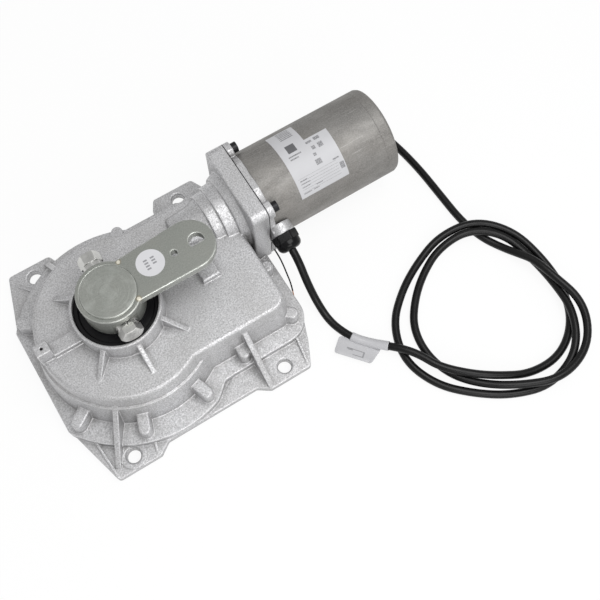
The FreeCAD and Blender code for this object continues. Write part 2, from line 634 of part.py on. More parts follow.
# Second shaft: final pinion cut on it, mid gear keyed above the pinion
SECOND_SEAT = 9.0
SMALL_KEY_W = 5.0
SMALL_KEY_DEPTH = 2.0
mid_gear_top = MID_GEAR_Z + MID_GEAR_T
second_shaft = join([
    turned_z([(0, BUSH_LOW_Z), (SECOND_JOURNAL, BUSH_LOW_Z), (SECOND_JOURNAL, 12), (SECOND_SEAT, 12),
              (SECOND_SEAT, 33.5), (11, 33.5), (11, MID_GEAR_Z), (SECOND_SEAT, MID_GEAR_Z),
              (SECOND_SEAT, mid_gear_top + 1), (SECOND_JOURNAL, mid_gear_top + 1), (SECOND_JOURNAL, 60),
              (0, 60)], SECOND_X, SECOND_Y),
    spur_gear(FINAL_MODULE, FINAL_PINION_TEETH, PINION_SHIFT, SECOND_X, SECOND_Y, FINAL_GEAR_Z - 1,
              FINAL_GEAR_T + 2, final_angle + math.pi),
])
key2_x = SECOND_X - SECOND_SEAT + SMALL_KEY_DEPTH
key2 = box(key2_x - SMALL_KEY_W, key2_x, SECOND_Y - SMALL_KEY_W / 2, SECOND_Y + SMALL_KEY_W / 2,
           MID_GEAR_Z, mid_gear_top)
export("second_shaft", second_shaft.cut(key2))
export("second_key", key2)
mid_angle = math.atan2(FIRST_Y - SECOND_Y, FIRST_X - SECOND_X)
mid_gear = spur_gear(MID_MODULE, MID_GEAR_TEETH, -PINION_SHIFT, SECOND_X, SECOND_Y, MID_GEAR_Z, MID_GEAR_T,
                     mid_angle + math.pi / MID_GEAR_TEETH)
export("second_gear", cut_all(mid_gear, [
    cyl_z(SECOND_SEAT, 0, 60, SECOND_X, SECOND_Y),
    tube_z(24.0, 15.0, mid_gear_top - 2.5, mid_gear_top + 1, SECOND_X, SECOND_Y),
    box(key2_x - SMALL_KEY_W - FREE_GAP, SECOND_X, SECOND_Y - SMALL_KEY_W / 2,
        SECOND_Y + SMALL_KEY_W / 2, 0, 60),
]))

# First shaft: mid pinion cut on it, worm wheel keyed above
FIRST_SEAT = 7.0
WEB_LOW_Z = 47.5
WEB_HIGH_Z = 51.5
first_shaft = join([
    turned_z([(0, BUSH_LOW_Z), (FIRST_JOURNAL, BUSH_LOW_Z), (FIRST_JOURNAL, 12.5), (FIRST_SEAT, 12.5),
              (FIRST_SEAT, 52.5), (FIRST_JOURNAL, 52.5), (FIRST_JOURNAL, CEILING_Z + 1), (0, CEILING_Z + 1)],
             FIRST_X, FIRST_Y),
    spur_gear(MID_MODULE, MID_PINION_TEETH, PINION_SHIFT, FIRST_X, FIRST_Y, MID_GEAR_Z - 1,
              MID_GEAR_T + 2, mid_angle + math.pi),
])
key1_x = FIRST_X - FIRST_SEAT + SMALL_KEY_DEPTH
key1 = box(key1_x - 4, key1_x, FIRST_Y - 2, FIRST_Y + 2, WEB_LOW_Z, WEB_HIGH_Z)
export("first_shaft", first_shaft.cut(key1))
export("first_key", key1)

# Worm wheel: helical teeth that follow the lead of the worm, dished to clear the upper boss
LEAD = math.pi * WORM_MODULE
lead_slope = LEAD / (2.0 * math.pi * WORM_R)
wheel_low = MID_PLANE_Z - WHEEL_WIDTH / 2.0
wheel_high = MID_PLANE_Z + WHEEL_WIDTH / 2.0
half_twist = lead_slope * (WHEEL_WIDTH / 2.0) / WHEEL_R
wheel_wires = []
for level, turn in ((wheel_low, -half_twist), (wheel_high, half_twist)):
    wheel_wires.append(gear_wire(WORM_MODULE, WHEEL_TEETH, 0.0, TOOTH_PLAY / 2.0, FIRST_X, FIRST_Y, level,
                                 math.pi / 2.0 + turn))
wheel_teeth = Part.makeLoft(wheel_wires, True, True)
wheel = join([
    wheel_teeth.cut(cyl_z(19.5, wheel_low - 1, wheel_high + 1, FIRST_X, FIRST_Y)),
    cyl_z(20.5, WEB_LOW_Z, WEB_HIGH_Z, FIRST_X, FIRST_Y),
])
export("worm_wheel", cut_all(wheel, [
    cyl_z(FIRST_SEAT, 40, 70, FIRST_X, FIRST_Y),
    box(key1_x - 4 - FREE_GAP, FIRST_X, FIRST_Y - 2, FIRST_Y + 2, 40, 70),
]))

# Worm shaft: worm, bearing seats and armature shaft in one piece
WORM_ROOT_R = WORM_R - 1.25 * WORM_MODULE
WORM_TIP_R = WORM_R + WORM_MODULE
worm_half = LEAD / 4.0 - TOOTH_PLAY / 4.0
sink = 0.4
top_half = worm_half - WORM_MODULE * math.tan(PRESSURE)
low_half = worm_half + (WORM_R - WORM_ROOT_R + sink) * math.tan(PRESSURE)
WORM_START = 3.0 * LEAD
helix = Part.makeHelix(LEAD, 2.0 * WORM_START, WORM_R)
section = Part.makePolygon([V(WORM_ROOT_R - sink, 0, -low_half), V(WORM_TIP_R, 0, -top_half),
                            V(WORM_TIP_R, 0, top_half), V(WORM_ROOT_R - sink, 0, low_half),
                            V(WORM_ROOT_R - sink, 0, -low_half)])
thread = Part.Wire(helix.Edges).makePipeShell([section], True, True)
along_x = FreeCAD.Rotation(V(1, 1, 1), 120)
thread.Placement = FreeCAD.Placement(V(FIRST_X - WORM_START, MOTOR_Y, MOTOR_Z), along_x)
ARMATURE_X0 = 165.0
ARMATURE_X1 = 220.0
MAGNET_R = MOTOR_R - MOTOR_WALL - 5.9
ARMATURE_R = MAGNET_R - 0.8
ROTOR_R = 8.0
REAR_JOURNAL_R = 5.0
REAR_JOURNAL_X = 255.0
ROTOR_END_X = 267.0
bearing_end = BOSS_BEARING_X + BEARING_T
core = turned_x([(FRONT_BLOCK_X0 + 2, 0), (FRONT_BLOCK_X0 + 2, BUSH_JOURNAL),
                 (FRONT_BLOCK_X1 + 1.5, BUSH_JOURNAL),
                 (FRONT_BLOCK_X1 + 2.5, WORM_ROOT_R), (98, WORM_ROOT_R), (98, 9), (BOSS_BEARING_X, 9),
                 (BOSS_BEARING_X, BEARING_BORE), (bearing_end, BEARING_BORE), (bearing_end + 1, 7),
                 (135, 7), (136, ROTOR_R), (REAR_JOURNAL_X - 1, ROTOR_R), (REAR_JOURNAL_X, REAR_JOURNAL_R),
                 (ROTOR_END_X, REAR_JOURNAL_R), (ROTOR_END_X, 0)])
worm_shaft = core.fuse(thread)
export("worm_shaft", worm_shaft)

# Ball bearing beside the worm
BALL_R = 2.4
BALLS = 9
ball_ring_r = (BEARING_R + BEARING_BORE) / 2.0
bearing_mid = BOSS_BEARING_X + BEARING_T / 2.0
groove = Part.makeTorus(ball_ring_r, BALL_R + FREE_GAP, V(bearing_mid, MOTOR_Y, MOTOR_Z), V(1, 0, 0))
export("bearing_outer_ring", tube_x(BEARING_R, 14.4, BOSS_BEARING_X, bearing_end).cut(groove))
inner_groove = Part.makeTorus(ball_ring_r, BALL_R, V(bearing_mid, MOTOR_Y, MOTOR_Z), V(1, 0, 0))
export("bearing_inner_ring", tube_x(10.6, BEARING_BORE, BOSS_BEARING_X, bearing_end).cut(inner_groove))
balls = []
for i in range(BALLS):
    a = 2.0 * math.pi * i / BALLS
    balls.append(Part.makeSphere(BALL_R, V(bearing_mid, MOTOR_Y + ball_ring_r * math.cos(a),
                                           MOTOR_Z + ball_ring_r * math.sin(a))))
export("bearing_balls", Part.makeCompound(balls))

# Motor: gasket, end shield with the gland boss, tube, rear cap
gasket_end = slab_end + GASKET_T
shield_end = gasket_end + SHIELD_T
tube_end = MOTOR_END_X - REAR_CAP_T
MOTOR_BORE = MOTOR_R - MOTOR_WALL
flange_gasket = square_plate(slab_end, gasket_end, MOTOR_Z - SLAB_HALF)
flange_holes = []
for py, pz in flange_screw_places:
    flange_holes.append(cyl_x(FLANGE_SCREW_R + FREE_GAP, slab_end - 1, shield_end + 1, py, pz))
pilot_hole = cyl_x(PILOT_R + 0.2, slab_end - 1, gasket_end + 1)
export("flange_gasket", cut_all(flange_gasket, flange_holes + [pilot_hole]))

GLAND_TILT = math.radians(20.0)
gland_way = V(0, -math.cos(GLAND_TILT), -math.sin(GLAND_TILT))
gland_exit = V(GLAND_X, GLAND_END_Y, GLAND_Z)


def along_gland(radius, near, far):
    """Round bar on the gland axis between two distances behind the cable exit."""
    return Part.makeCylinder(radius, far - near, gland_exit - gland_way * far, gland_way)


NUT_L = 9.0
GLAND_L = 17.0
GLAND_THREAD_R = 8.0
GLAND_THREAD_L = 2.8
GLAND_BOSS_R = 11.5
EAR_R = 8.5
WIRE_R = 0.75
WIRE_Z = 17.5
WIRE_SEAT = 2.0
wire_x = gasket_end + SHIELD_T / 2
shield_parts = [cyl_x(MOTOR_R + 2.2, gasket_end, shield_end)]
for py, pz in flange_screw_places:
    shield_parts.append(cyl_x(EAR_R, gasket_end, shield_end, py, pz))
shield_shape = join(shield_parts)
# The cable gland stands on a short boss with a flat block behind it
gland_boss = along_gland(GLAND_BOSS_R, GLAND_L, GLAND_L + 10).common(
    box(gasket_end, GLAND_X + 20, slab_low - 40, slab_low + 10, 0, 2 * MOTOR_Z))
gland_block = box(gasket_end, GLAND_X + 8, slab_low - 5, slab_low + 6, GLAND_Z - 11, GLAND_Z + 15)
gland_block = gland_block.cut(along_gland(40, -20, GLAND_L))
shield = join([
    square_plate(gasket_end, shield_end, MOTOR_Z - SLAB_HALF).common(shield_shape),
    cyl_x(PILOT_R, gasket_end - PILOT_T, gasket_end + 1),
    cyl_x(MOTOR_BORE - SEAT_GAP, shield_end - 1, shield_end + 6),
    gland_boss,
    gland_block,
])
shield = cut_all(shield, [
    cyl_x(MOTOR_BORE - 5, shield_end + 0.5, shield_end + 40),
    tube_x(MOTOR_R + FREE_GAP, MOTOR_BORE - SEAT_GAP, shield_end, shield_end + 30),
    cyl_x(10.0, 120, 150),
    along_gland(GLAND_THREAD_R, GLAND_L - 1, GLAND_L + GLAND_THREAD_L),
    cyl_y(WIRE_R + SEAT_GAP, slab_low - 1, slab_low + WIRE_SEAT, wire_x, WIRE_Z),
] + flange_holes)
export("motor_flange", shield)
flange_screws = []
for py, pz in flange_screw_places:
    bolt = cyl_x(FLANGE_SCREW_R, slab_end - 12, shield_end, py, pz).fuse(
        cyl_x(SOCKET_HEAD_R, shield_end, shield_end + SOCKET_HEAD_T, py, pz))
    flange_screws.append(bolt.cut(hexagon(5.0, 4.0, V(shield_end + 3, py, pz), V(1, 0, 0))))
export("flange_screws", Part.makeCompound(flange_screws))
export("motor_tube", tube_x(MOTOR_R, MOTOR_BORE, shield_end, tube_end))
REAR_BUSH_R = 9.0
rear_cap = turned_x([(tube_end - 4, MOTOR_BORE - 5), (tube_end - 4, MOTOR_BORE - SEAT_GAP),
                     (tube_end, MOTOR_BORE - SEAT_GAP), (tube_end, MOTOR_R), (MOTOR_END_X - 3, MOTOR_R),
                     (MOTOR_END_X - 0.9, MOTOR_R - 0.9), (MOTOR_END_X, MOTOR_R - 3),
                     (MOTOR_END_X, MOTOR_R - 10), (MOTOR_END_X - 3, MOTOR_R - 13),
                     (MOTOR_END_X - 3, 0), (tube_end - 4, 0), (tube_end - 4, 12), (tube_end + 3, 14),
                     (tube_end + 3, MOTOR_BORE - 5)])
export("motor_rear_cap", rear_cap.cut(cyl_x(REAR_BUSH_R, tube_end - 5, tube_end + 6)))
export("rear_bush", tube_x(REAR_BUSH_R, REAR_JOURNAL_R + BUSH_GAP, tube_end - 4, tube_end + 6))

# Inside the motor
MAGNET_GAP = 0.65 * MOTOR_BORE
magnet_room = box(ARMATURE_X0 - 10, ARMATURE_X1 + 10, MOTOR_Y - MAGNET_GAP, MOTOR_Y + MAGNET_GAP,
                  MOTOR_Z - 2 * MOTOR_R, MOTOR_Z + 2 * MOTOR_R)
export("magnets", tube_x(MOTOR_BORE, MAGNET_R, ARMATURE_X0 - 5, ARMATURE_X1 + 5).cut(magnet_room))
armature = tube_x(ARMATURE_R, ROTOR_R, ARMATURE_X0, ARMATURE_X1)
ARMATURE_SLOTS = 12
for i in range(ARMATURE_SLOTS):
    slot_box = box(ARMATURE_X0 - 1, ARMATURE_X1 + 1, MOTOR_Y - 1.5, MOTOR_Y + 1.5,
                   MOTOR_Z + ARMATURE_R - 6, MOTOR_Z + ARMATURE_R + 5)
    slot_box.rotate(V(0, MOTOR_Y, MOTOR_Z), V(1, 0, 0), 360.0 * i / ARMATURE_SLOTS)
    armature = armature.cut(slot_box)
export("armature_core", armature)
WINDING_R = 0.36 * ARMATURE_R
windings = [
    turned_x([(ARMATURE_X0 - 9, WINDING_R + 2), (ARMATURE_X0 - 9, ARMATURE_R - 9),
              (ARMATURE_X0 - 5, ARMATURE_R - 4), (ARMATURE_X0, ARMATURE_R - 3), (ARMATURE_X0, WINDING_R)]),
    turned_x([(ARMATURE_X1, WINDING_R), (ARMATURE_X1, ARMATURE_R - 3), (ARMATURE_X1 + 5, ARMATURE_R - 4),
              (ARMATURE_X1 + 9, ARMATURE_R - 9), (ARMATURE_X1 + 9, WINDING_R + 2)]),
]
export("armature_windings", Part.makeCompound(windings))
COMMUTATOR_R = 14.0
COMMUTATOR_X0 = 232.0
COMMUTATOR_X1 = 246.0
export("commutator", tube_x(COMMUTATOR_R, ROTOR_R, COMMUTATOR_X0, COMMUTATOR_X1))
brush_mid = (COMMUTATOR_X0 + COMMUTATOR_X1) / 2.0
BRUSH_END_R = 26.0
brushes = []
for side in (-1, 1):
    brush = box(brush_mid - 4, brush_mid + 4, MOTOR_Y - 3, MOTOR_Y + 3,
                MOTOR_Z + COMMUTATOR_R - 4, MOTOR_Z + BRUSH_END_R)
    brush.rotate(V(0, MOTOR_Y, MOTOR_Z), V(1, 0, 0), 90.0 * side)
    brushes.append(brush.cut(cyl_x(COMMUTATOR_R + FREE_GAP, COMMUTATOR_X0 - 5, COMMUTATOR_X1 + 5)))
export("brushes", Part.makeCompound(brushes))
holder = tube_x(MOTOR_BORE, COMMUTATOR_R + 3, COMMUTATOR_X1 + 1, COMMUTATOR_X1 + 4)
for side in (-1, 1):
    guide = box(brush_mid - 6, COMMUTATOR_X1 + 2, MOTOR_Y - 5, MOTOR_Y + 5,
                MOTOR_Z + COMMUTATOR_R + 5, MOTOR_Z + MOTOR_BORE - 6)
    guide.rotate(V(0, MOTOR_Y, MOTOR_Z), V(1, 0, 0), 90.0 * side)
    holder = holder.fuse(guide)
holder_room = []
for side in (-1, 1):
    room = box(brush_mid - 4, brush_mid + 4, MOTOR_Y - 3, MOTOR_Y + 3, MOTOR_Z, MOTOR_Z + BRUSH_END_R + 4)
    room.rotate(V(0, MOTOR_Y, MOTOR_Z), V(1, 0, 0), 90.0 * side)
    holder_room.append(room)
export("brush_holder", cut_all(holder, holder_room))

# Rating plate sheet bent round the motor tube
LABEL_T = 0.15
LABEL_GAP = 0.03


def tube_patch(x0, x1, from_deg, to_deg):
    sheet = tube_x(MOTOR_R + LABEL_GAP + LABEL_T, MOTOR_R + LABEL_GAP, x0, x1)
    wedge = [V(x0 - 1, MOTOR_Y, MOTOR_Z)]
    steps = 4
    for i in range(steps + 1):
        a = math.radians(from_deg + (to_deg - from_deg) * i / steps)
        wedge.append(V(x0 - 1, MOTOR_Y + 2 * MOTOR_R * math.cos(a),
                       MOTOR_Z + 2 * MOTOR_R * math.sin(a)))
    return sheet.common(polygon(wedge).extrude(V(x1 - x0 + 2, 0, 0)))


LABEL_X0 = 167.5
LABEL_X1 = 195.0
LABEL_X2 = 219.0
export("motor_label", join([tube_patch(LABEL_X0, LABEL_X1, 50.0, 149.0),
                            tube_patch(LABEL_X1 - 0.5, LABEL_X2, 84.0, 149.0)]))

# Lever hub on the shaft neck, lever plate, cross bolt with nut and washers
hub = turned_z([(HUB_R - 1, HUB_Z), (HUB_R, HUB_Z + 1), (HUB_R, LEVER_Z), (HUB_TOP_R, LEVER_Z),
                (HUB_TOP_R, HUB_TOP_Z - 0.7), (HUB_TOP_R - 0.7, HUB_TOP_Z), (0, HUB_TOP_Z),
                (0, SHAFT_END_Z + 0.5), (SHAFT_NECK_R, SHAFT_END_Z + 0.5), (SHAFT_NECK_R, HUB_Z)])
hub = cut_all(hub, [
    box(SHAFT_X - 40, SHAFT_X + 40, HUB_FLAT, 60, HUB_Z - 1, LEVER_Z),
    box(SHAFT_X - 40, SHAFT_X + 40, -60, -HUB_FLAT, HUB_Z - 1, LEVER_Z),
    cyl_y(BOLT_R + 0.3, -60, 60, SHAFT_X, BOLT_Z),
])
export("lever_hub", hub)
lever_top = LEVER_Z + LEVER_T


def turned_lever(shape):
    """Turns a shape drawn along the X axis to where the lever stands on its hub."""
    shape.rotate(V(SHAFT_X, SHAFT_Y, 0), V(0, 0, 1), LEVER_TURN)
    return shape


tip_x = SHAFT_X + LEVER_TIP_REACH
lever = join([
    cyl_z(LEVER_HUB_END_R, LEVER_Z, lever_top, SHAFT_X, SHAFT_Y),
    prism([(SHAFT_X, -LEVER_HALF_W), (tip_x, -LEVER_TIP_R), (tip_x, LEVER_TIP_R), (SHAFT_X, LEVER_HALF_W)],
          LEVER_Z, lever_top),
    cyl_z(LEVER_TIP_R, LEVER_Z, lever_top, tip_x, 0),
])
slot_x = SHAFT_X + SLOT_REACH
slot = cyl_z(SLOT_R, LEVER_Z - 1, lever_top + 1, slot_x, 0).cut(
    box(slot_x - 20, slot_x + 20, -20, -SLOT_FLAT, LEVER_Z - 2, lever_top + 2))
export("lever_arm", turned_lever(cut_all(lever, [
    cyl_z(HUB_TOP_R, LEVER_Z - 1, lever_top + 1, SHAFT_X, SHAFT_Y),
    slot,
    cyl_z(PEEP_R, LEVER_Z - 1, lever_top + 1, SHAFT_X + PEEP_REACH, 0),
])))
export("lever_sticker", turned_lever(
    cyl_z(STICKER_R, lever_top, lever_top + LABEL_T, SHAFT_X + STICKER_REACH, STICKER_SIDE)))

washer_end = HUB_FLAT + WASHER_T
spring_end = washer_end + SPRING_T
HEX_ROUND = BOLT_HEX / math.sqrt(3.0)
HEX_CHAMFER = 1.2


def hex_piece(near, far):
    """Hexagon round the cross bolt between two places along Y, with its outer corners turned off."""
    way = 1 if far > near else -1
    solid = hexagon(BOLT_HEX, abs(far - near), V(SHAFT_X, near, BOLT_Z), V(0, way, 0))
    return solid.common(turned_y([(near, 0), (near, HEX_ROUND), (far - way * HEX_CHAMFER, HEX_ROUND),
                                  (far, HEX_ROUND - 1.7), (far, 0)], SHAFT_X, BOLT_Z))


bolt_stem = turned_y([(-spring_end, 0), (-spring_end, BOLT_R), (BOLT_END_Y - 1, BOLT_R),
                      (BOLT_END_Y, BOLT_R - 1), (BOLT_END_Y, 0)], SHAFT_X, BOLT_Z)
export("clamp_bolt", hex_piece(-spring_end, -spring_end - HEAD_T).fuse(bolt_stem))
export("clamp_nut", hex_piece(washer_end, washer_end + NUT_T).cut(cyl_y(BOLT_R, 0, 60, SHAFT_X, BOLT_Z)))
flat_washers = []
for y0, y1 in ((HUB_FLAT, washer_end), (-washer_end, -HUB_FLAT)):
    ring = cyl_y(WASHER_R, y0, y1, SHAFT_X, BOLT_Z)
    flat_washers.append(ring.cut(cyl_y(BOLT_R + 0.3, y0 - 1, y1 + 1, SHAFT_X, BOLT_Z)))
export("flat_washers", Part.makeCompound(flat_washers))
spring = cyl_y(WASHER_R - 0.4, -spring_end, -washer_end, SHAFT_X, BOLT_Z)
spring = spring.cut(cyl_y(BOLT_R + 0.3, -60, 0, SHAFT_X, BOLT_Z))
split = box(SHAFT_X - 0.7, SHAFT_X + 0.7, -spring_end - 1, -washer_end + 1, BOLT_Z, BOLT_Z + 15)
split.rotate(V(SHAFT_X, -washer_end, BOLT_Z + 8), V(0, 0, 1), 14)
export("spring_washer", spring.cut(split))

# Cable gland: body screwed into the boss, dome nut on it
gland_hole = along_gland(CABLE_R, -1, GLAND_L + 20)
gland_turn = 15.0
DOME_ROUND = 6.0
body_foot = gland_exit - gland_way * GLAND_L
body_hex = hexagon(2 * GLAND_R - 1.0, GLAND_L - NUT_L, body_foot, gland_way, gland_turn)
body_hex = body_hex.common(along_gland(GLAND_R + 0.8, NUT_L, GLAND_L))
gland_body = join([body_hex, along_gland(GLAND_THREAD_R, GLAND_L, GLAND_L + GLAND_THREAD_L)])
export("gland_body", gland_body.cut(gland_hole))
dome = along_gland(GLAND_R, 0.0, NUT_L)
dome_rim = [e for e in dome.Edges if (e.CenterOfMass - gland_exit).Length < 0.01]
dome = dome.makeFillet(DOME_ROUND, dome_rim)
export("gland_nut", dome.cut(gland_hole))

# Cable: one round route per stretch, straight runs joined by tangent arcs
BEND_SHARE = 0.45


def cable_route(points, name):
    edges = []
    last = points[0]
    smallest = 1.0e9
    for i in range(1, len(points) - 1):
        before = points[i] - points[i - 1]
        after = points[i + 1] - points[i]
        reach = BEND_SHARE * min(before.Length, after.Length)
        turn = before.getAngle(after)
        radius = reach / math.tan(turn / 2.0)
        smallest = min(smallest, radius)
        before.normalize()
        after.normalize()
        start = points[i] - before * reach
        end = points[i] + after * reach
        toward = (after - before).normalize()
        rise = radius / math.cos(turn / 2.0) - radius
        edges.append(Part.LineSegment(last, start).toShape())
        edges.append(Part.Arc(start, points[i] + toward * rise, end).toShape())
        last = end
    edges.append(Part.LineSegment(last, points[-1]).toShape())
    wire = Part.Wire(edges)
    print(name, "length", round(wire.Length, 1), "smallest bend radius", round(smallest, 1))
    return wire


def cable_tube(points, name, radius=CABLE_R):
    wire = cable_route(points, name)
    first = (points[1] - points[0]).normalize()
    ring = Part.Wire(Part.Circle(points[0], first, radius).toShape())
    tube = wire.makePipeShell([ring], True, True)
    print(name, "volume share", round(tube.Volume / (wire.Length * math.pi * radius ** 2), 4))
    return tube


FLOOR = CABLE_R
CABLE_H = 2 * CABLE_R + 1.0
lead_points = [
    gland_exit - gland_way * 7.0,
    gland_exit + gland_way * 11.0,
    V(138.2, -47.0, 33.0),
    V(139.0, -59.5, 17.5),
    V(139.8, -70.5, 9.0),
    V(140.6, -82.0, 4.8),
    V(143.0, -95.0, FLOOR),
    V(150.5, -113.0, FLOOR),
    V(174.0, -139.0, FLOOR),
    V(186.0, -154.5, FLOOR),
]
tail_points = [
    V(313.0, -84.0, FLOOR),
    V(310.2, -62.0, FLOOR),
    V(309.4, -28.0, FLOOR),
    V(308.3, 8.0, FLOOR),
    V(303.5, 42.0, FLOOR),
    V(295.0, 72.0, FLOOR),
    V(273.0, 96.0, FLOOR),
    V(240.0, 104.0, FLOOR),
    V(208.0, 102.0, FLOOR),
]
cable_lead = cable_tube(lead_points, "cable_lead")
cable_tail = cable_tube(tail_points, "cable_tail")
export("cable_lead", cable_lead)
export("cable_tail", cable_tail)


def oval(half_x, half_y, z0, z1):
    disc = Part.Ellipse(V(COIL_X, COIL_Y, z0), half_x, half_y).toShape()
    return Part.Face(Part.Wire(disc)).extrude(V(0, 0, z1 - z0))


def pocket(points, far):
    """Room round the stretch of cable inside the coil, closed flat where the stretch ends."""
    near, inner = (points[-2], points[-1]) if far else (points[1], points[0])
    way = (inner - near).normalize()
    return Part.makeCylinder(CABLE_R + FREE_GAP, 30.0, inner - way * 30.0, way)


coil = oval(COIL_HALF_X, COIL_HALF_Y, 0, COIL_H).cut(
    oval(COIL_HALF_X - COIL_W, COIL_HALF_Y - COIL_W, -1, COIL_H + 1))
coil = cut_all(coil, [pocket(lead_points, True), pocket(tail_points, False)])
export("cable_coil", coil)
cores = []
end = tail_points[-1]
back = (tail_points[-1] - tail_points[-2]).normalize()
side_way = V(-back.y, back.x, 0)
CORE_R = 1.1
CORE_STEP = 2.4
CORE_L = 14.0
for i in (-1, 0, 1):
    cores.append(Part.makeCylinder(CORE_R, CORE_L, end + side_way * (CORE_STEP * i), back))
export("cable_cores", Part.makeCompound(cores))

# Printed tag: a sleeve that follows the cable with a flat flag beside it
TAG_L = 32.0
TAG_LEAD = 1.5
TAG_T = 0.8
TAG_SLIT_Z = 0.3
FLAG_W = 16.0
FLAG_L = 38.0
FLAG_BACK = 10.0
tag_from = lead_points[-3]
tag_way = (lead_points[-2] - tag_from).normalize()
tag_side = V(tag_way.y, -tag_way.x, 0)
if tag_side.x > 0:
    tag_side = tag_side.negative()


def beside_tag(along, aside):
    """Place in plan by the distance along the tag's stretch of cable and to its left."""
    spot = tag_from + tag_way * along + tag_side * aside
    return spot.x, spot.y


reach = 2 * CABLE_R
tag_room = prism([beside_tag(-TAG_LEAD, -reach), beside_tag(TAG_L - TAG_LEAD, -reach),
                  beside_tag(TAG_L - TAG_LEAD, reach), beside_tag(-TAG_LEAD, reach)],
                 TAG_SLIT_Z, CABLE_H)
sleeve_ring = cable_tube(lead_points, "tag sleeve", CABLE_R + TAG_T)
flag_edge = CABLE_R + TAG_T / 2
flag = prism([beside_tag(-FLAG_BACK, flag_edge), beside_tag(FLAG_L - FLAG_BACK, flag_edge),
              beside_tag(FLAG_L - FLAG_BACK - 3, CABLE_R + FLAG_W),
              beside_tag(-FLAG_BACK - 3, CABLE_R + FLAG_W)],
             FLOOR - TAG_T / 2, FLOOR + TAG_T / 2)
sleeve = sleeve_ring.common(tag_room).cut(cable_lead)
export("cable_tag", sleeve.fuse(round_uprights(flag, 2.0)))

# Short earth wire that hangs from the motor flange to the floor beside the case
wire_points = [
    V(wire_x, slab_low + WIRE_SEAT, WIRE_Z),
    V(wire_x, slab_low - 8.0, WIRE_Z),
    V(wire_x - 0.3, slab_low - 17.0, 11.0),
    V(wire_x - 0.8, slab_low - 24.5, 4.0),
    V(wire_x - 2.0, slab_low - 33.0, WIRE_R + 0.2),
    V(wire_x - 4.5, slab_low - 40.0, WIRE_R),
]
wire = cable_tube(wire_points, "earth_wire", WIRE_R)
export("earth_wire", wire)
strand_way = V(wire_points[-1].x - wire_points[-2].x, wire_points[-1].y - wire_points[-2].y, 0)
export("earth_wire_end", Part.makeCylinder(WIRE_R - 0.2, 6.0, wire_points[-1], strand_way))
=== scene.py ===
import json
import math

import bpy
import bmesh
from mathutils import Matrix, Vector


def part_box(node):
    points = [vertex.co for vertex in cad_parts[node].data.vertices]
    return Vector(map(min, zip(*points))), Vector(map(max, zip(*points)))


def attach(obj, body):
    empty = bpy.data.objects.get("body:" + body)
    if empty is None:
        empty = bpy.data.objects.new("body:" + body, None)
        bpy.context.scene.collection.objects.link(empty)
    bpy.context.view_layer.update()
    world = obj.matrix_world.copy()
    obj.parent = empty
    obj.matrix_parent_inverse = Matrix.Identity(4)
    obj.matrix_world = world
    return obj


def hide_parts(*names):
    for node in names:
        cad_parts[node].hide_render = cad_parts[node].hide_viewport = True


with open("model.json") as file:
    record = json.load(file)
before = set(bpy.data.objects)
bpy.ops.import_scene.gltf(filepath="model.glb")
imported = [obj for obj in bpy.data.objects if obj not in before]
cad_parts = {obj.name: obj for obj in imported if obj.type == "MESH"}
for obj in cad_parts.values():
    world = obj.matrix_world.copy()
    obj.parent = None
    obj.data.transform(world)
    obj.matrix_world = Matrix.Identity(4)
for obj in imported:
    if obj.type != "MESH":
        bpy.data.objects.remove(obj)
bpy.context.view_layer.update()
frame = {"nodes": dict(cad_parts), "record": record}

bl_info = {
    "name": "Underground gate opener",
    "version": (1, 0, 0),
    "blender": (4, 5, 0),
    "location": "View3D > Sidebar > Opener",
    "description": "Finishes, lead and small parts of an underground gate opener",
    "category": "Object",
}

MM = 0.001
NODES = frame["nodes"]

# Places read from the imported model
SHAFT = sum(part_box("output_gear"), Vector()) / 2.0
MOTOR_LOW, MOTOR_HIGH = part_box("motor_tube")
MOTOR_MID = (MOTOR_LOW + MOTOR_HIGH) / 2.0
MOTOR_R = (MOTOR_HIGH.y - MOTOR_LOW.y) / 2.0
LABEL_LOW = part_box("motor_label")[0]
STICKER_MID = sum(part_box("lever_sticker"), Vector()) / 2.0
# Material slot of every node
SLOTS = {part["node"]: part["material_slot"] for part in frame["record"]["subparts"]}

# Where the lever is welded to its hub, with the reach of the heat tint
WELD_SPOTS = [(Vector((-8.2, -18.9, 119.6)) * MM, 3.6 * MM), (Vector((-7.4, 19.6, 119.6)) * MM, 2.8 * MM),
              (Vector((-25.5, -22.5, 108.0)) * MM, 4.5 * MM)]
# How far the tint's rim wanders in and out
TINT_FRAY = 2.4 * MM

# Steps of everything that is turned
ROUND_STEPS = 72


# Sizes and colours that a user may change

def length_setting(name, description, default, least):
    return bpy.props.FloatProperty(name=name, description=description, default=default, min=least, unit="LENGTH")


def colour_setting(name, description, default):
    return bpy.props.FloatVectorProperty(name=name, description=description, default=default, size=3,
                                         subtype="COLOR")


class OpenerCable(bpy.types.PropertyGroup):
    radius: length_setting("Cable radius", "Half the outer diameter of the lead", 3.9 * MM, 1 * MM)
    turn_step: bpy.props.FloatProperty(name="Turn step", description="Angle between two points of the coil",
                                       default=math.radians(24.3), subtype="ANGLE")
    sheath: colour_setting("Sheath", "Colour of the lead's sheath", (0.0028, 0.0028, 0.003))


class OpenerTag(bpy.types.PropertyGroup):
    sleeve_length: length_setting("Sleeve length", "Stretch of the lead inside the tag", 37 * MM, 5 * MM)
    wall: length_setting("Tag wall", "Thickness of the tag's plastic", 0.75 * MM, 0.2 * MM)


class OpenerWire(bpy.types.PropertyGroup):
    radius: length_setting("Earth wire radius", "Half the diameter of the thin earth wire", 0.75 * MM, 0.2 * MM)


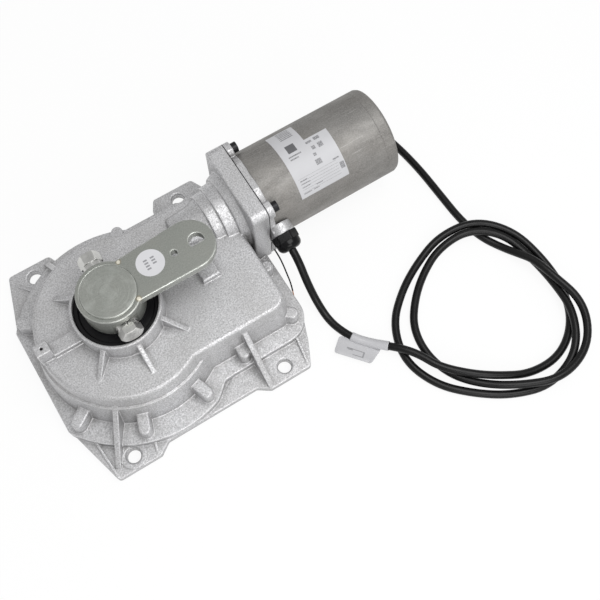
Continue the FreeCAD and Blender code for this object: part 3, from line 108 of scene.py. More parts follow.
class OpenerFinish(bpy.types.PropertyGroup):
    cast: colour_setting("Casting", "Colour of the sand blasted casting", (0.565, 0.565, 0.575))
    tube: colour_setting("Motor tube", "Colour of the motor's steel tube", (0.262, 0.256, 0.246))
    lever: colour_setting("Lever", "Colour of the zinc plated lever", (0.335, 0.349, 0.322))
    film: colour_setting("Film", "Colour of the printed film", (0.62, 0.62, 0.64))


class OpenerStage(bpy.types.PropertyGroup):
    floor: colour_setting("Floor", "Colour of the floor", (0.90, 0.90, 0.90))
    softbox: bpy.props.FloatProperty(name="Softbox", description="Power of the big soft lamp", default=9.5,
                                     subtype="POWER")


# Shader helpers

class Shader:
    """One material's node tree with its Principled shader and short ways to add nodes."""

    def __init__(self, name):
        self.material = bpy.data.materials.new(name)
        self.material.use_nodes = True
        self.nodes = self.material.node_tree.nodes
        self.links = self.material.node_tree.links
        self.principled = self.nodes["Principled BSDF"]
        self.place = self.add("ShaderNodeTexCoord").outputs["Object"]

    def add(self, kind, **settings):
        node = self.nodes.new(kind)
        for key, value in settings.items():
            setattr(node, key, value)
        return node

    def group(self, tree, **values):
        node = self.add("ShaderNodeGroup", node_tree=tree)
        for key, value in values.items():
            self.feed(value, node.inputs[key.replace("_", " ")])
        return node

    def feed(self, value, socket):
        if isinstance(value, bpy.types.NodeSocket):
            self.links.new(value, socket)
        elif isinstance(value, (tuple, list)) and len(value) == 3 and socket.type == "RGBA":
            socket.default_value = (*value, 1.0)
        else:
            socket.default_value = value

    def math(self, operation, a, b=0.0, c=0.0):
        node = self.add("ShaderNodeMath", operation=operation)
        for socket, value in zip(node.inputs, (a, b, c)):
            self.feed(value, socket)
        return node.outputs[0]

    def mix(self, factor, a, b, kind="RGBA"):
        node = self.add("ShaderNodeMix", data_type=kind)
        first, second, result = {"RGBA": (6, 7, 2), "FLOAT": (2, 3, 0)}[kind]
        self.feed(factor, node.inputs[0])
        self.feed(a, node.inputs[first])
        self.feed(b, node.inputs[second])
        return node.outputs[result]

    def noise(self, scale, detail=3.0, place=None, distortion=0.0):
        node = self.add("ShaderNodeTexNoise")
        self.feed(self.place if place is None else place, node.inputs["Vector"])
        node.inputs["Scale"].default_value = scale
        node.inputs["Detail"].default_value = detail
        node.inputs["Distortion"].default_value = distortion
        return node.outputs["Fac"]

    def range(self, value, low, high, to_low=0.0, to_high=1.0):
        node = self.add("ShaderNodeMapRange", clamp=True)
        for socket, item in zip(node.inputs, (value, low, high, to_low, to_high)):
            self.feed(item, socket)
        return node.outputs[0]

    def stretch(self, scale):
        node = self.add("ShaderNodeMapping")
        self.feed(self.place, node.inputs["Vector"])
        node.inputs["Scale"].default_value = scale
        return node.outputs["Vector"]

    def split(self):
        node = self.add("ShaderNodeSeparateXYZ")
        self.feed(self.place, node.inputs[0])
        return node.outputs

    def millimetres(self, value, origin):
        """How far a coordinate is from an origin, in mm."""
        return self.math("DIVIDE", self.math("SUBTRACT", value, origin), MM)

    def bump(self, height, distance, strength=1.0, normal=None):
        node = self.add("ShaderNodeBump")
        self.feed(height, node.inputs["Height"])
        node.inputs["Distance"].default_value = distance
        node.inputs["Strength"].default_value = strength
        if normal is not None:
            self.feed(normal, node.inputs["Normal"])
        return node.outputs["Normal"]

    def set(self, **values):
        for key, value in values.items():
            self.feed(value, self.principled.inputs[key.replace("_", " ")])
        return self.material


class Group(Shader):
    """A shared shader node group with named inputs and outputs."""

    def __init__(self, name, inputs, outputs):
        self.tree = bpy.data.node_groups.new(name, "ShaderNodeTree")
        self.nodes = self.tree.nodes
        self.links = self.tree.links
        for title, kind, value in inputs:
            socket = self.tree.interface.new_socket(title, in_out="INPUT", socket_type="NodeSocket" + kind)
            if value is not None:
                socket.default_value = value
        for title, kind in outputs:
            self.tree.interface.new_socket(title, in_out="OUTPUT", socket_type="NodeSocket" + kind)
        self.inlet = self.nodes.new("NodeGroupInput").outputs
        self.outlet = self.nodes.new("NodeGroupOutput").inputs
        self.place = self.inlet["Place"]

    def done(self, **results):
        for key, value in results.items():
            self.links.new(value, self.outlet[key.replace("_", " ")])
        return self.tree


def make_edge_highlights():
    """Mask for a painted highlight on outer and inner edges, and a normal that rounds them off."""
    group = Group("Edge rounding and painted highlights",
                  [("Place", "Vector", None), ("Width", "Float", 0.6 * MM), ("Breakup", "Float", 260.0)],
                  [("Mask", "Float"), ("Normal", "Vector")])
    bevel = group.add("ShaderNodeBevel", samples=6)
    group.feed(group.inlet["Width"], bevel.inputs["Radius"])
    true_normal = group.add("ShaderNodeNewGeometry").outputs["Normal"]
    dot = group.add("ShaderNodeVectorMath", operation="DOT_PRODUCT")
    group.feed(bevel.outputs["Normal"], dot.inputs[0])
    group.feed(true_normal, dot.inputs[1])
    edge = group.range(dot.outputs["Value"], 0.995, 0.86)
    breakup = group.add("ShaderNodeTexNoise")
    group.feed(group.place, breakup.inputs["Vector"])
    group.feed(group.inlet["Breakup"], breakup.inputs["Scale"])
    broken = group.range(breakup.outputs["Fac"], 0.38, 0.62)
    mask = group.math("MULTIPLY", edge, group.math("MULTIPLY_ADD", broken, 0.6, 0.4))
    return group.done(Mask=mask, Normal=bevel.outputs["Normal"])


def make_crevice_shade():
    """Mask for painted shade where the surface lies close to other surfaces, broken up by noise."""
    group = Group("Painted crevice shade", [("Place", "Vector", None), ("Reach", "Float", 8 * MM)], [("Mask", "Float")])
    hollow = group.add("ShaderNodeAmbientOcclusion", samples=6)
    group.feed(group.inlet["Reach"], hollow.inputs["Distance"])
    near = group.range(hollow.outputs["AO"], 0.92, 0.35)
    # This noise only breaks up the painted shade.
    dust = group.range(group.noise(90.0, 5.0), 0.3, 0.7, 0.45, 1.0)
    return group.done(Mask=group.math("MULTIPLY", near, dust))


def make_grain():
    """Fine grain of a blasted or cast skin: a height, and light and dark specks."""
    group = Group("Blasted grain",
                  [("Place", "Vector", None), ("Fine", "Float", 1500.0), ("Coarse", "Float", 420.0)],
                  [("Height", "Float"), ("Specks", "Float"), ("Clouds", "Float")])
    fine = group.add("ShaderNodeTexNoise")
    coarse = group.add("ShaderNodeTexNoise")
    pits = group.add("ShaderNodeTexVoronoi")
    for node, scale in ((fine, "Fine"), (coarse, "Coarse"), (pits, "Fine")):
        group.feed(group.place, node.inputs["Vector"])
        group.feed(group.inlet[scale], node.inputs["Scale"])
    fine.inputs["Detail"].default_value = 2.0
    coarse.inputs["Detail"].default_value = 4.0
    height = group.math("MULTIPLY", fine.outputs["Fac"], 0.6)
    height = group.math("MULTIPLY_ADD", coarse.outputs["Fac"], 0.6, height)
    height = group.math("MULTIPLY_ADD", pits.outputs["Distance"], 0.25, height)
    specks = group.range(fine.outputs["Fac"], 0.3, 0.72)
    clouds = group.range(group.noise(22.0, 4.0), 0.3, 0.7)
    return group.done(Height=height, Specks=specks, Clouds=clouds)


def make_scratches():
    """Thin broken scratches along X of the place that is fed in."""
    group = Group("Fine scratches", [("Place", "Vector", None), ("Amount", "Float", 0.5)], [("Mask", "Float")])
    stretched = group.stretch((25.0, 900.0, 900.0))
    lines = group.noise(1.0, 3.0, stretched)
    patches = group.range(group.noise(35.0, 2.0), 0.42, 0.62)
    sharp = group.range(lines, 0.60, 0.68)
    mask = group.math("MULTIPLY", sharp, group.math("MULTIPLY", patches, group.inlet["Amount"]))
    return group.done(Mask=mask)


MAKERS = {"edges": make_edge_highlights, "crevice_shade": make_crevice_shade, "grain": make_grain, "scratches": make_scratches}
GROUPS = {}


def shared(name):
    """A shared node group, made when it is first asked for."""
    if name not in GROUPS:
        GROUPS[name] = MAKERS[name]()
    return GROUPS[name]


# Materials

def shades(base, share, lift=0.0):
    """A darker or lighter shade of a colour, held below full white."""
    return tuple(min(1.0, c * share + lift) for c in base)


def cast_aluminium():
    """Sand blasted aluminium casting: pale and grainy, with painted highlights on its edges, painted shade in
    its crevices and painted glints.
    """
    s = Shader("cast_aluminium")
    base = tuple(bpy.context.scene.opener_finish.cast)
    grain = s.group(shared("grain"), Place=s.place, Fine=780.0, Coarse=260.0)
    edges = s.group(shared("edges"), Place=s.place, Width=1.9 * MM, Breakup=160.0)
    crevice_shade = s.group(shared("crevice_shade"), Place=s.place, Reach=9 * MM)
    glints = s.range(s.noise(1150.0, 1.0), 0.63, 0.70)
    colour = s.mix(grain.outputs["Specks"], shades(base, 0.68), shades(base, 1.30))
    colour = s.mix(s.math("MULTIPLY", grain.outputs["Clouds"], 0.34), colour, (0.36, 0.352, 0.34))
    # Painted glints: pale specks in the colour.
    colour = s.mix(s.math("MULTIPLY", glints, 0.45), colour, (0.95, 0.95, 0.97))
    # Painted shade in the crevices and recesses.
    colour = s.mix(s.math("MULTIPLY", crevice_shade.outputs["Mask"], 0.72), colour, (0.16, 0.155, 0.15))
    # Painted highlight on the edges.
    colour = s.mix(s.math("MULTIPLY", edges.outputs["Mask"], 0.72), colour, (0.93, 0.93, 0.94))
    rough = s.mix(glints, s.range(grain.outputs["Specks"], 0.0, 1.0, 0.58, 0.40), 0.30, "FLOAT")
    normal = s.bump(grain.outputs["Height"], 0.24 * MM, 0.7, edges.outputs["Normal"])
    return s.set(Base_Color=colour, Metallic=0.68, Roughness=rough, Normal=normal)


def motor_steel():
    """Satin steel tube with fine turning lines round it."""
    s = Shader("motor_steel")
    base = tuple(bpy.context.scene.opener_finish.tube)
    grain = s.group(shared("grain"), Place=s.place, Fine=820.0, Coarse=240.0)
    edges = s.group(shared("edges"), Place=s.place, Width=1.0 * MM, Breakup=260.0)
    wiped = s.range(s.noise(1.0, 5.0, s.stretch((34.0, 70.0, 70.0)), 0.7), 0.34, 0.68)
    rings = s.noise(1.0, 2.0, s.stretch((900.0, 30.0, 30.0)))
    scratches = s.group(shared("scratches"), Place=s.place, Amount=0.6)
    colour = s.mix(grain.outputs["Specks"], shades(base, 0.72), shades(base, 1.26))
    colour = s.mix(s.math("MULTIPLY", wiped, 0.45), colour, shades(base, 1.38))
    colour = s.mix(s.math("MULTIPLY", grain.outputs["Clouds"], 0.35), colour, (0.27, 0.25, 0.225))
    colour = s.mix(s.math("MULTIPLY", scratches.outputs["Mask"], 0.4), colour, (0.70, 0.69, 0.67))
    height = s.math("MULTIPLY_ADD", rings, 0.25, grain.outputs["Height"])
    normal = s.bump(height, 0.16 * MM, 0.7, edges.outputs["Normal"])
    rough = s.range(wiped, 0.0, 1.0, 0.68, 0.54)
    return s.set(Base_Color=colour, Metallic=0.72, Roughness=rough, Normal=normal)


def lever_steel(name="lever_steel", turned=0.0):
    """Zinc plated steel, grey green and satin, with heat tint and bright metal at the welds, and a painted
    highlight on its edges.

    A share in turned adds the tool rings of the hub's face.
    """
    s = Shader(name)
    base = tuple(bpy.context.scene.opener_finish.lever)
    edges = s.group(shared("edges"), Place=s.place, Width=1.9 * MM, Breakup=120.0)
    clouds = s.range(s.noise(60.0, 4.0, distortion=0.3), 0.25, 0.75)
    grain = s.group(shared("grain"), Place=s.place, Fine=900.0, Coarse=300.0)
    scratches = s.group(shared("scratches"), Place=s.place, Amount=0.5)
    colour = s.mix(grain.outputs["Specks"], shades(base, 0.84), shades(base, 1.16))
    colour = s.mix(s.math("MULTIPLY", clouds, 0.35), colour, (0.26, 0.255, 0.235))
    height = grain.outputs["Height"]
    if turned:
        x, y, _ = s.split()
        blotches = s.range(s.noise(85.0, 3.0, distortion=0.5), 0.50, 0.72, 0.0, 0.55)
        colour = s.mix(blotches, colour, (0.50, 0.52, 0.49))
        from_shaft = s.math("SUBTRACT", x, SHAFT.x)
        away = s.math("SQRT", s.math("ADD", s.math("POWER", from_shaft, 2.0), s.math("POWER", y, 2.0)))
        spiral = s.add("ShaderNodeCombineXYZ")
        s.feed(s.math("MULTIPLY", away, 1300.0), spiral.inputs[0])
        lines = s.noise(1.0, 2.0, spiral.outputs[0])
        colour = s.mix(s.range(lines, 0.35, 0.65, 0.0, turned), colour, shades(base, 1.5))
        height = s.math("MULTIPLY_ADD", lines, 4.5, height)
    for spot, reach in WELD_SPOTS:
        gap = s.add("ShaderNodeVectorMath", operation="DISTANCE")
        s.feed(s.place, gap.inputs[0])
        gap.inputs[1].default_value = spot
        frayed = s.math("SUBTRACT", gap.outputs["Value"], TINT_FRAY / 2.0)
        near = s.math("MULTIPLY_ADD", s.noise(260.0, 3.0), TINT_FRAY, frayed)
        colour = s.mix(s.range(near, reach, reach * 0.72, 0.0, 0.55), colour, (0.30, 0.25, 0.16))
        colour = s.mix(s.range(near, reach * 0.62, reach * 0.42, 0.0, 0.9), colour, (0.90, 0.86, 0.74))
    colour = s.mix(s.math("MULTIPLY", scratches.outputs["Mask"], 0.4), colour, (0.62, 0.64, 0.61))
    # Painted highlight on the edges.
    colour = s.mix(s.math("MULTIPLY", edges.outputs["Mask"], 0.85), colour, (0.92, 0.94, 0.90))
    normal = s.bump(height, 0.07 * MM, 0.5, edges.outputs["Normal"])
    rough = s.range(clouds, 0.0, 1.0, 0.34, 0.46)
    return s.set(Base_Color=colour, Metallic=0.85, Roughness=rough, Normal=normal)


def plain_metal(name, base, roughness, metallic=1.0):
    """Turned or plated steel with faint clouds, tool lines, painted shade in its crevices and a painted
    highlight on its edges.
    """
    s = Shader(name)
    edges = s.group(shared("edges"), Place=s.place, Width=0.4 * MM, Breakup=400.0)
    crevice_shade = s.group(shared("crevice_shade"), Place=s.place, Reach=3 * MM)
    clouds = s.range(s.noise(120.0, 5.0), 0.3, 0.7)
    lines = s.noise(1.0, 2.0, s.stretch((300.0, 300.0, 2600.0)))
    colour = s.mix(clouds, shades(base, 0.85), shades(base, 1.12))
    # Painted shade in the crevices.
    colour = s.mix(s.math("MULTIPLY", crevice_shade.outputs["Mask"], 0.5), colour, shades(base, 0.35))
    # Painted highlight on the edges.
    colour = s.mix(s.math("MULTIPLY", edges.outputs["Mask"], 0.4), colour, shades(base, 1.5, 0.04))
    normal = s.bump(lines, 0.03 * MM, 0.5, edges.outputs["Normal"])
    rough = s.range(clouds, 0.0, 1.0, roughness * 0.8, roughness * 1.25)
    return s.set(Base_Color=colour, Metallic=metallic, Roughness=rough, Normal=normal)


def soft_black(name, base, roughness, grain_scale, depth):
    """Black rubber or nylon: fine moulded grain, grey dust and a painted highlight on its edges."""
    s = Shader(name)
    grain = s.group(shared("grain"), Place=s.place, Fine=grain_scale, Coarse=grain_scale / 4.0)
    edges = s.group(shared("edges"), Place=s.place, Width=0.5 * MM, Breakup=300.0)
    dust = s.range(s.noise(60.0, 6.0), 0.45, 0.75)
    colour = s.mix(s.math("MULTIPLY", dust, 0.30), base, shades(base, 2.6, 0.008))
    # Painted highlight on the edges.
    colour = s.mix(s.math("MULTIPLY", edges.outputs["Mask"], 0.35), colour, shades(base, 4.0, 0.01))
    normal = s.bump(grain.outputs["Height"], depth, 0.5, edges.outputs["Normal"])
    rough = s.range(grain.outputs["Specks"], 0.0, 1.0, roughness * 0.85, roughness * 1.15)
    return s.set(Base_Color=colour, Roughness=rough, Normal=normal, Specular_IOR_Level=0.20)


def cable_sheath():
    """Black sheath of the lead: slightly glossy, with faint lengthwise drawing lines and dust."""
    s = Shader("cable_sheath")
    base = tuple(bpy.context.scene.opener_cable.sheath)
    dust = s.range(s.noise(45.0, 6.0), 0.42, 0.75)
    ripple = s.noise(700.0, 2.0)
    rub = s.range(s.noise(150.0, 5.0, distortion=0.6), 0.58, 0.72)
    colour = s.mix(s.math("MULTIPLY", dust, 0.35), base, (0.008, 0.0078, 0.0075))
    colour = s.mix(s.math("MULTIPLY", rub, 0.20), colour, (0.014, 0.014, 0.014))
    normal = s.bump(ripple, 0.06 * MM, 0.35)
    rough = s.range(dust, 0.0, 1.0, 0.30, 0.45)
    return s.set(Base_Color=colour, Roughness=rough, Normal=normal, Specular_IOR_Level=0.28)


def bar_mask(s, u, v, low_u, high_u, low_v, high_v):
    """1 inside a rectangle of the flat coordinates u and v."""
    inside_u = s.math("MULTIPLY", s.math("GREATER_THAN", u, low_u), s.math("LESS_THAN", u, high_u))
    inside_v = s.math("MULTIPLY", s.math("GREATER_THAN", v, low_v), s.math("LESS_THAN", v, high_v))
    return s.math("MULTIPLY", inside_u, inside_v)


def bars_mask(s, u, v, bars):
    """1 inside any of several rectangles."""
    ink = bar_mask(s, u, v, *bars[0])
    for bar in bars[1:]:
        ink = s.math("MAXIMUM", ink, bar_mask(s, u, v, *bar))
    return ink


def film(name, share=1.0):
    """White printed film with soft wrinkles and a satin face: the shader and its colour, darkened by share."""
    s = Shader(name)
    base = shades(bpy.context.scene.opener_finish.film, share)
    clouds = s.range(s.noise(60.0, 4.0), 0.3, 0.7)
    colour = s.mix(clouds, shades(base, 0.95), base)
    normal = s.bump(s.noise(160.0, 3.0), 0.05 * MM, 0.5)
    s.set(Roughness=0.42, Normal=normal)
    return s, colour


# Rating plate: low and high place along the motor and round it, in mm
RATING_PRINT = [(9.5, 22.5, 40.0 + 2.4 * i, 41.4 + 2.4 * i) for i in range(6)] + [
    (5.8, 19.0, 73.0, 74.4), (6.2, 15.0, 75.8, 77.2), (27.0, 33.0, 67.4, 69.6), (35.5, 41.5, 66.4, 69.8),
    (29.5, 33.0, 73.6, 77.2), (36.0, 41.0, 73.0, 78.0), (27.5, 30.5, 80.2, 83.2), (26.0, 32.0, 86.4, 91.6),
    (41.5, 48.0, 93.2, 94.6), (46.0, 50.5, 99.0, 105.5), (4.5, 12.0, 97.2, 98.4), (4.5, 14.0, 100.2, 101.2),
    (4.5, 12.5, 103.4, 104.4), (18.0, 25.0, 106.4, 107.4), (3.5, 12.0, 109.6, 110.6), (14.0, 20.0, 109.6, 110.6)]
RATING_RULES = [(3.5, 44.5, 95.4 + 2.7 * i, 95.65 + 2.7 * i) for i in range(6)]
RATING_BLOCK = (8.2, 17.4, 61.4, 70.2)
# Sticker and tag: low and high place along and across, in mm from the middle
STICKER_BARS = [(-5.0, -1.4, -5.4, -3.8), (-5.0, -1.4, -2.6, -1.0), (-5.0, -1.4, 0.2, 1.8),
                (-5.0, -1.4, 3.0, 4.6), (1.6, 5.2, -2.6, -1.0), (1.6, 5.2, 0.2, 1.8), (1.6, 5.2, 3.0, 4.6)]
TAG_BAR = (-9.5, -3.5, 0.4, 2.6)
TAG_FRAME = [(-3.5, 7.5, 1.6, 2.4), (-2.5, 7.5, -3.7, -2.9), (6.8, 8.3, -3.7, 2.4)]


def rating_film():
    """Rating plate with plain rules, broken bars and a bare block in place of its print."""
    s, colour = film("rating_film", 0.86)
    x, y, z = s.split()
    turn = s.math("ARCTAN2", s.math("SUBTRACT", z, MOTOR_MID.z), s.math("SUBTRACT", y, MOTOR_MID.y))
    round_mm = s.math("MULTIPLY", turn, MOTOR_R / MM)
    along_mm = s.millimetres(x, LABEL_LOW.x)
    ink = bars_mask(s, along_mm, round_mm, RATING_PRINT + RATING_RULES)
    broken = s.add("ShaderNodeCombineXYZ")
    s.feed(s.math("MULTIPLY", along_mm, 2.6), broken.inputs[0])
    s.feed(s.math("MULTIPLY", round_mm, 1.3), broken.inputs[1])
    strokes = s.range(s.noise(1.0, 1.0, broken.outputs[0]), 0.40, 0.56, 0.15, 0.85)
    block = bar_mask(s, along_mm, round_mm, *RATING_BLOCK)
    ink = s.math("MAXIMUM", s.math("MULTIPLY", ink, strokes), s.math("MULTIPLY", block, 0.86))
    return s.set(Base_Color=s.mix(ink, colour, (0.045, 0.045, 0.05)))


def sticker_film():
    """Round white sticker with two rows of short plain bars."""
    s, colour = film("sticker_film")
    x, y, _ = s.split()
    ink = bars_mask(s, s.millimetres(x, STICKER_MID.x), s.millimetres(y, STICKER_MID.y), STICKER_BARS)
    ink = s.math("MULTIPLY", ink, 0.66)
    return s.set(Base_Color=s.mix(ink, colour, (0.10, 0.10, 0.11)))


def tag_film():
    """White plastic of the cable tag, with a broken bar and an open frame printed on its flag."""
    s, colour = film("tag_film", 0.80)
    x, y, _ = s.split()
    from_x, from_y = s.millimetres(x, TAG_PRINT.x), s.millimetres(y, TAG_PRINT.y)
    u = s.math("ADD", s.math("MULTIPLY", from_x, TAG_ALONG.x), s.math("MULTIPLY", from_y, TAG_ALONG.y))
    v = s.math("SUBTRACT", s.math("MULTIPLY", from_y, TAG_ALONG.x), s.math("MULTIPLY", from_x, TAG_ALONG.y))
    broken = s.math("MULTIPLY", bar_mask(s, u, v, *TAG_BAR), s.range(s.noise(420.0, 1.0), 0.38, 0.46))
    ink = s.math("MULTIPLY", s.math("MAXIMUM", broken, bars_mask(s, u, v, TAG_FRAME)), 0.80)
    return s.set(Base_Color=s.mix(ink, colour, (0.22, 0.22, 0.23)), Roughness=0.3)


MATERIALS = {
    "cast_aluminium": cast_aluminium,
    "motor_steel": motor_steel,
    "lever_steel": lever_steel,
    "turned_hub": lambda: lever_steel("turned_hub", 0.30),
    "machined_steel": lambda: plain_metal("machined_steel", (0.56, 0.56, 0.57), 0.28),
    "bolt_steel": lambda: plain_metal("bolt_steel", (0.60, 0.60, 0.58), 0.30),
    "black_steel": lambda: plain_metal("black_steel", (0.022, 0.022, 0.024), 0.38, 0.7),
    "bronze": lambda: plain_metal("bronze", (0.62, 0.42, 0.19), 0.32),
    "copper": lambda: plain_metal("copper", (0.68, 0.32, 0.17), 0.34),
    "iron_core": lambda: plain_metal("iron_core", (0.20, 0.20, 0.21), 0.5),
    "ferrite": lambda: plain_metal("ferrite", (0.06, 0.06, 0.065), 0.55, 0.3),
    "seal_rubber": lambda: soft_black("seal_rubber", (0.006, 0.006, 0.0068), 0.36, 1500.0, 0.06 * MM),
    "gland_plastic": lambda: soft_black("gland_plastic", (0.0035, 0.0035, 0.004), 0.18, 1400.0, 0.03 * MM),
    "carbon": lambda: soft_black("carbon", (0.02, 0.02, 0.02), 0.7, 1600.0, 0.05 * MM),
    "holder_plastic": lambda: soft_black("holder_plastic", (0.20, 0.13, 0.07), 0.5, 1200.0, 0.05 * MM),
    "cable_sheath": cable_sheath,
    "rating_film": rating_film,
    "sticker_film": sticker_film,
    "tag_film": tag_film,
}
MADE = {}


def material(name):
    """A finish, made when it is first asked for."""
    if name not in MADE:
        MADE[name] = MATERIALS[name]()
    return MADE[name]


# Nodes whose finish is more than their slot's
SPECIAL = {"motor_label": "rating_film", "lever_sticker": "sticker_film", "cable_tag": "tag_film",
           "motor_rear_cap": "motor_steel", "lever_hub": "turned_hub"}


def repaint_nodes():
    """Gives every carried-over node the detailed material of its slot."""
    for name, node in NODES.items():
        finish = material(SPECIAL.get(name, SLOTS[name]))
        for place in node.material_slots:
            place.material = finish


# Lead: one cord from the gland through the tag and the coil to the bare ends

# Coil: middle in mm, first and last angle, reach of its outer line in mm
COIL_MID = Vector((269.5, -156.0))
COIL_FIRST = math.radians(200.0)
COIL_LAST = math.radians(1076.0)
COIL_REACH = 88.0
# Depth in mm and direction of the outer line's three lobes, and of its lean to one side
COIL_LOBES = (6.5, math.radians(57.0))
COIL_LEAN = (5.0, math.radians(-35.0))
# How far the coil lies inside its outer line: angle in degrees and depth in mm, eased in between
TURN_INSETS = [(195, 15), (270, 18), (360, 0), (540, 0), (630, 0), (720, 8.6), (810, 8.8), (900, 21), (955, 9),
               (976, 7.2), (1022, -6.0), (1046, -7.0), (1080, 10.5)]
# Where a turn climbs over another: angle in degrees, half width in degrees, height in diameters
TURN_HUMPS = [(214, 46, 1.16), (418, 28, 1.14), (685, 28, 1.18), (778, 28, 1.14), (1020, 61, 1.33),
              (1070, 30, 1.82)]
# Control points before and after the coil, in mm
LEAD_POINTS = [
    (139.0, -22.0, 52.0), (139.0, -32.3, 48.2), (138.2, -47.0, 33.0), (139.0, -59.5, 17.5), (139.8, -70.5, 9.0),
    (140.6, -82.0, 4.8), (143.0, -95.0, 4.2), (150.5, -113.0, 4.8), (162.0, -126.5, 5.4), (174.0, -139.0, 9.8),
    (184.0, -150.0, 12.6), (193.0, -162.5, 12.9),
]
TAIL_POINTS = [
    (341.0, -140.0, 15.2), (334.8, -127.5, 10.8), (327.6, -112.0, 4.8), (317.0, -92.0, 3.9), (310.5, -66.0, 3.9),
    (309.4, -30.0, 3.9), (308.3, 6.0, 3.9), (303.5, 42.0, 3.9), (295.0, 72.0, 3.9), (273.0, 96.0, 3.9),
    (240.0, 104.0, 3.9), (208.0, 102.0, 3.9),
]


def turn_inset(angle):
    degrees = math.degrees(angle)
    for (low, from_mm), (high, to_mm) in zip(TURN_INSETS, TURN_INSETS[1:]):
        if degrees <= high:
            share = (1.0 - math.cos(math.pi * (degrees - low) / (high - low))) / 2.0
            return from_mm + (to_mm - from_mm) * share
    return TURN_INSETS[-1][1]


def turn_reach(angle):
    """The outer line of the coil in mm: three soft lobes, drawn a little to the lower right."""
    lobe, lobe_at = COIL_LOBES
    lean, lean_at = COIL_LEAN
    return COIL_REACH + lobe * math.cos(3.0 * (angle - lobe_at)) + lean * math.cos(angle - lean_at)


def turn_height(angle, radius):
    """Height of the lead's centre: on the floor, or over the turn that it crosses."""
    climb = 0.0
    for middle, width, share in TURN_HUMPS:
        climb = max(climb, share * math.exp(-((math.degrees(angle) - middle) / width) ** 4))
    return radius + 2.0 * radius * climb


def cable_route():
    settings = bpy.context.scene.opener_cable
    points = [Vector(p) * MM for p in LEAD_POINTS]
    steps = round((COIL_LAST - COIL_FIRST) / settings.turn_step)
    for i in range(steps + 1):
        angle = COIL_FIRST + (COIL_LAST - COIL_FIRST) * i / steps
        reach = turn_reach(angle) - turn_inset(angle)
        place = (COIL_MID + Vector((math.cos(angle), math.sin(angle))) * reach) * MM
        points.append(Vector((*place, turn_height(angle, settings.radius))))
    return points + [Vector(p) * MM for p in TAIL_POINTS]


def link(obj):
    bpy.context.scene.collection.objects.link(obj)
    return obj


def spline_curve(name, points, radius):
    curve = bpy.data.curves.new(name, "CURVE")
    curve.dimensions = "3D"
    curve.bevel_depth = radius
    curve.bevel_resolution = 5
    curve.resolution_u = 8
    curve.use_fill_caps = radius > 0.0
    spline = curve.splines.new("NURBS")
    spline.points.add(len(points) - 1)
    for target, point in zip(spline.points, points):
        target.co = (*point, 1.0)
    spline.order_u = 3
    spline.use_endpoint_u = True
    return link(bpy.data.objects.new(name, curve))


def centre_line(curve_object):
    """The points of a curve's own line, read from it with no bevel."""
    plain = curve_object.data.copy()
    plain.bevel_depth = 0.0
    probe = link(bpy.data.objects.new("line_probe", plain))
    bpy.context.view_layer.update()
    mesh = bpy.data.meshes.new_from_object(probe.evaluated_get(bpy.context.evaluated_depsgraph_get()))
    points = [v.co.copy() for v in mesh.vertices]
    bpy.data.objects.remove(probe)
    return points


def line_length(points):
    return sum((b - a).length for a, b in zip(points, points[1:]))


# Small turned and hexagonal pieces

def from_edit(name, edit, finish):
    """A new painted object from an edit mesh, with its normals turned outwards."""
    bmesh.ops.recalc_face_normals(edit, faces=edit.faces)
    mesh = bpy.data.meshes.new(name)
    edit.to_mesh(mesh)
    edit.free()
    mesh.materials.append(material(finish))
    return link(bpy.data.objects.new(name, mesh))


def spin_profile(name, profile, centre, axis, finish):
    """A closed body turned round a line through centre; the profile holds places along it and radii."""
    edit = bmesh.new()
    side = Vector((0, 0, 1))
    verts = [edit.verts.new(centre + axis * along + side * radius) for along, radius in profile]
    edges = [edit.edges.new(pair) for pair in zip(verts, verts[1:])]
    bmesh.ops.spin(edit, geom=verts + edges, cent=centre, axis=axis, angle=math.tau, steps=ROUND_STEPS)
    bmesh.ops.remove_doubles(edit, verts=edit.verts, dist=0.005 * MM)
    return from_edit(name, edit, finish)


def cut_below(obj, height):
    """Takes away what lies below a height and closes the cut."""
    edit = bmesh.new()
    edit.from_mesh(obj.data)
    cut = bmesh.ops.bisect_plane(edit, geom=edit.verts[:] + edit.edges[:] + edit.faces[:],
                                 plane_co=(0, 0, height), plane_no=(0, 0, 1), clear_inner=True)
    rim = [item for item in cut["geom_cut"] if isinstance(item, bmesh.types.BMEdge)]
    bmesh.ops.edgeloop_fill(edit, edges=rim)
    bmesh.ops.recalc_face_normals(edit, faces=edit.faces)
    edit.to_mesh(obj.data)
    edit.free()


def smooth_by_angle(obj, degrees=35.0):
    for face in obj.data.polygons:
        face.use_smooth = True
    obj.data.set_sharp_from_angle(angle=math.radians(degrees))


# Nose of the worm housing: place along the motor axis and radius, in mm
NOSE_PROFILE = [(50.0, 0.0), (50.0, 15.6), (50.4, 18.0), (51.4, 19.6), (53.0, 20.4), (84.0, 22.6), (84.0, 0.0)]
# Height at which the nose is cut off inside the case
NOSE_CUT = 64.0 * MM


class OPENER_OT_worm_nose(bpy.types.Operator):
    """Add the rounded nose in which the worm housing ends on the case"""
    bl_idname = "opener.worm_nose"
    bl_label = "Worm housing nose"

    def execute(self, context):
        axis_point = Vector((0.0, MOTOR_MID.y, MOTOR_MID.z))
        profile = [(along * MM, radius * MM) for along, radius in NOSE_PROFILE]
        nose = spin_profile("worm_housing_nose", profile, axis_point, Vector((1, 0, 0)), "cast_aluminium")
        cut_below(nose, NOSE_CUT)
        smooth_by_angle(nose)
        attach(nose, "case")
        return {"FINISHED"}


# Thin plate over the open corner at the narrow part of the case's foot: corners and heights in mm
WAIST_CORNERS = [(32.8, -86.8), (18.0, -95.3), (15.5, -92.5), (24.0, -84.0), (31.5, -84.0)]
WAIST_LOW, WAIST_HIGH = 8.0, 8.3


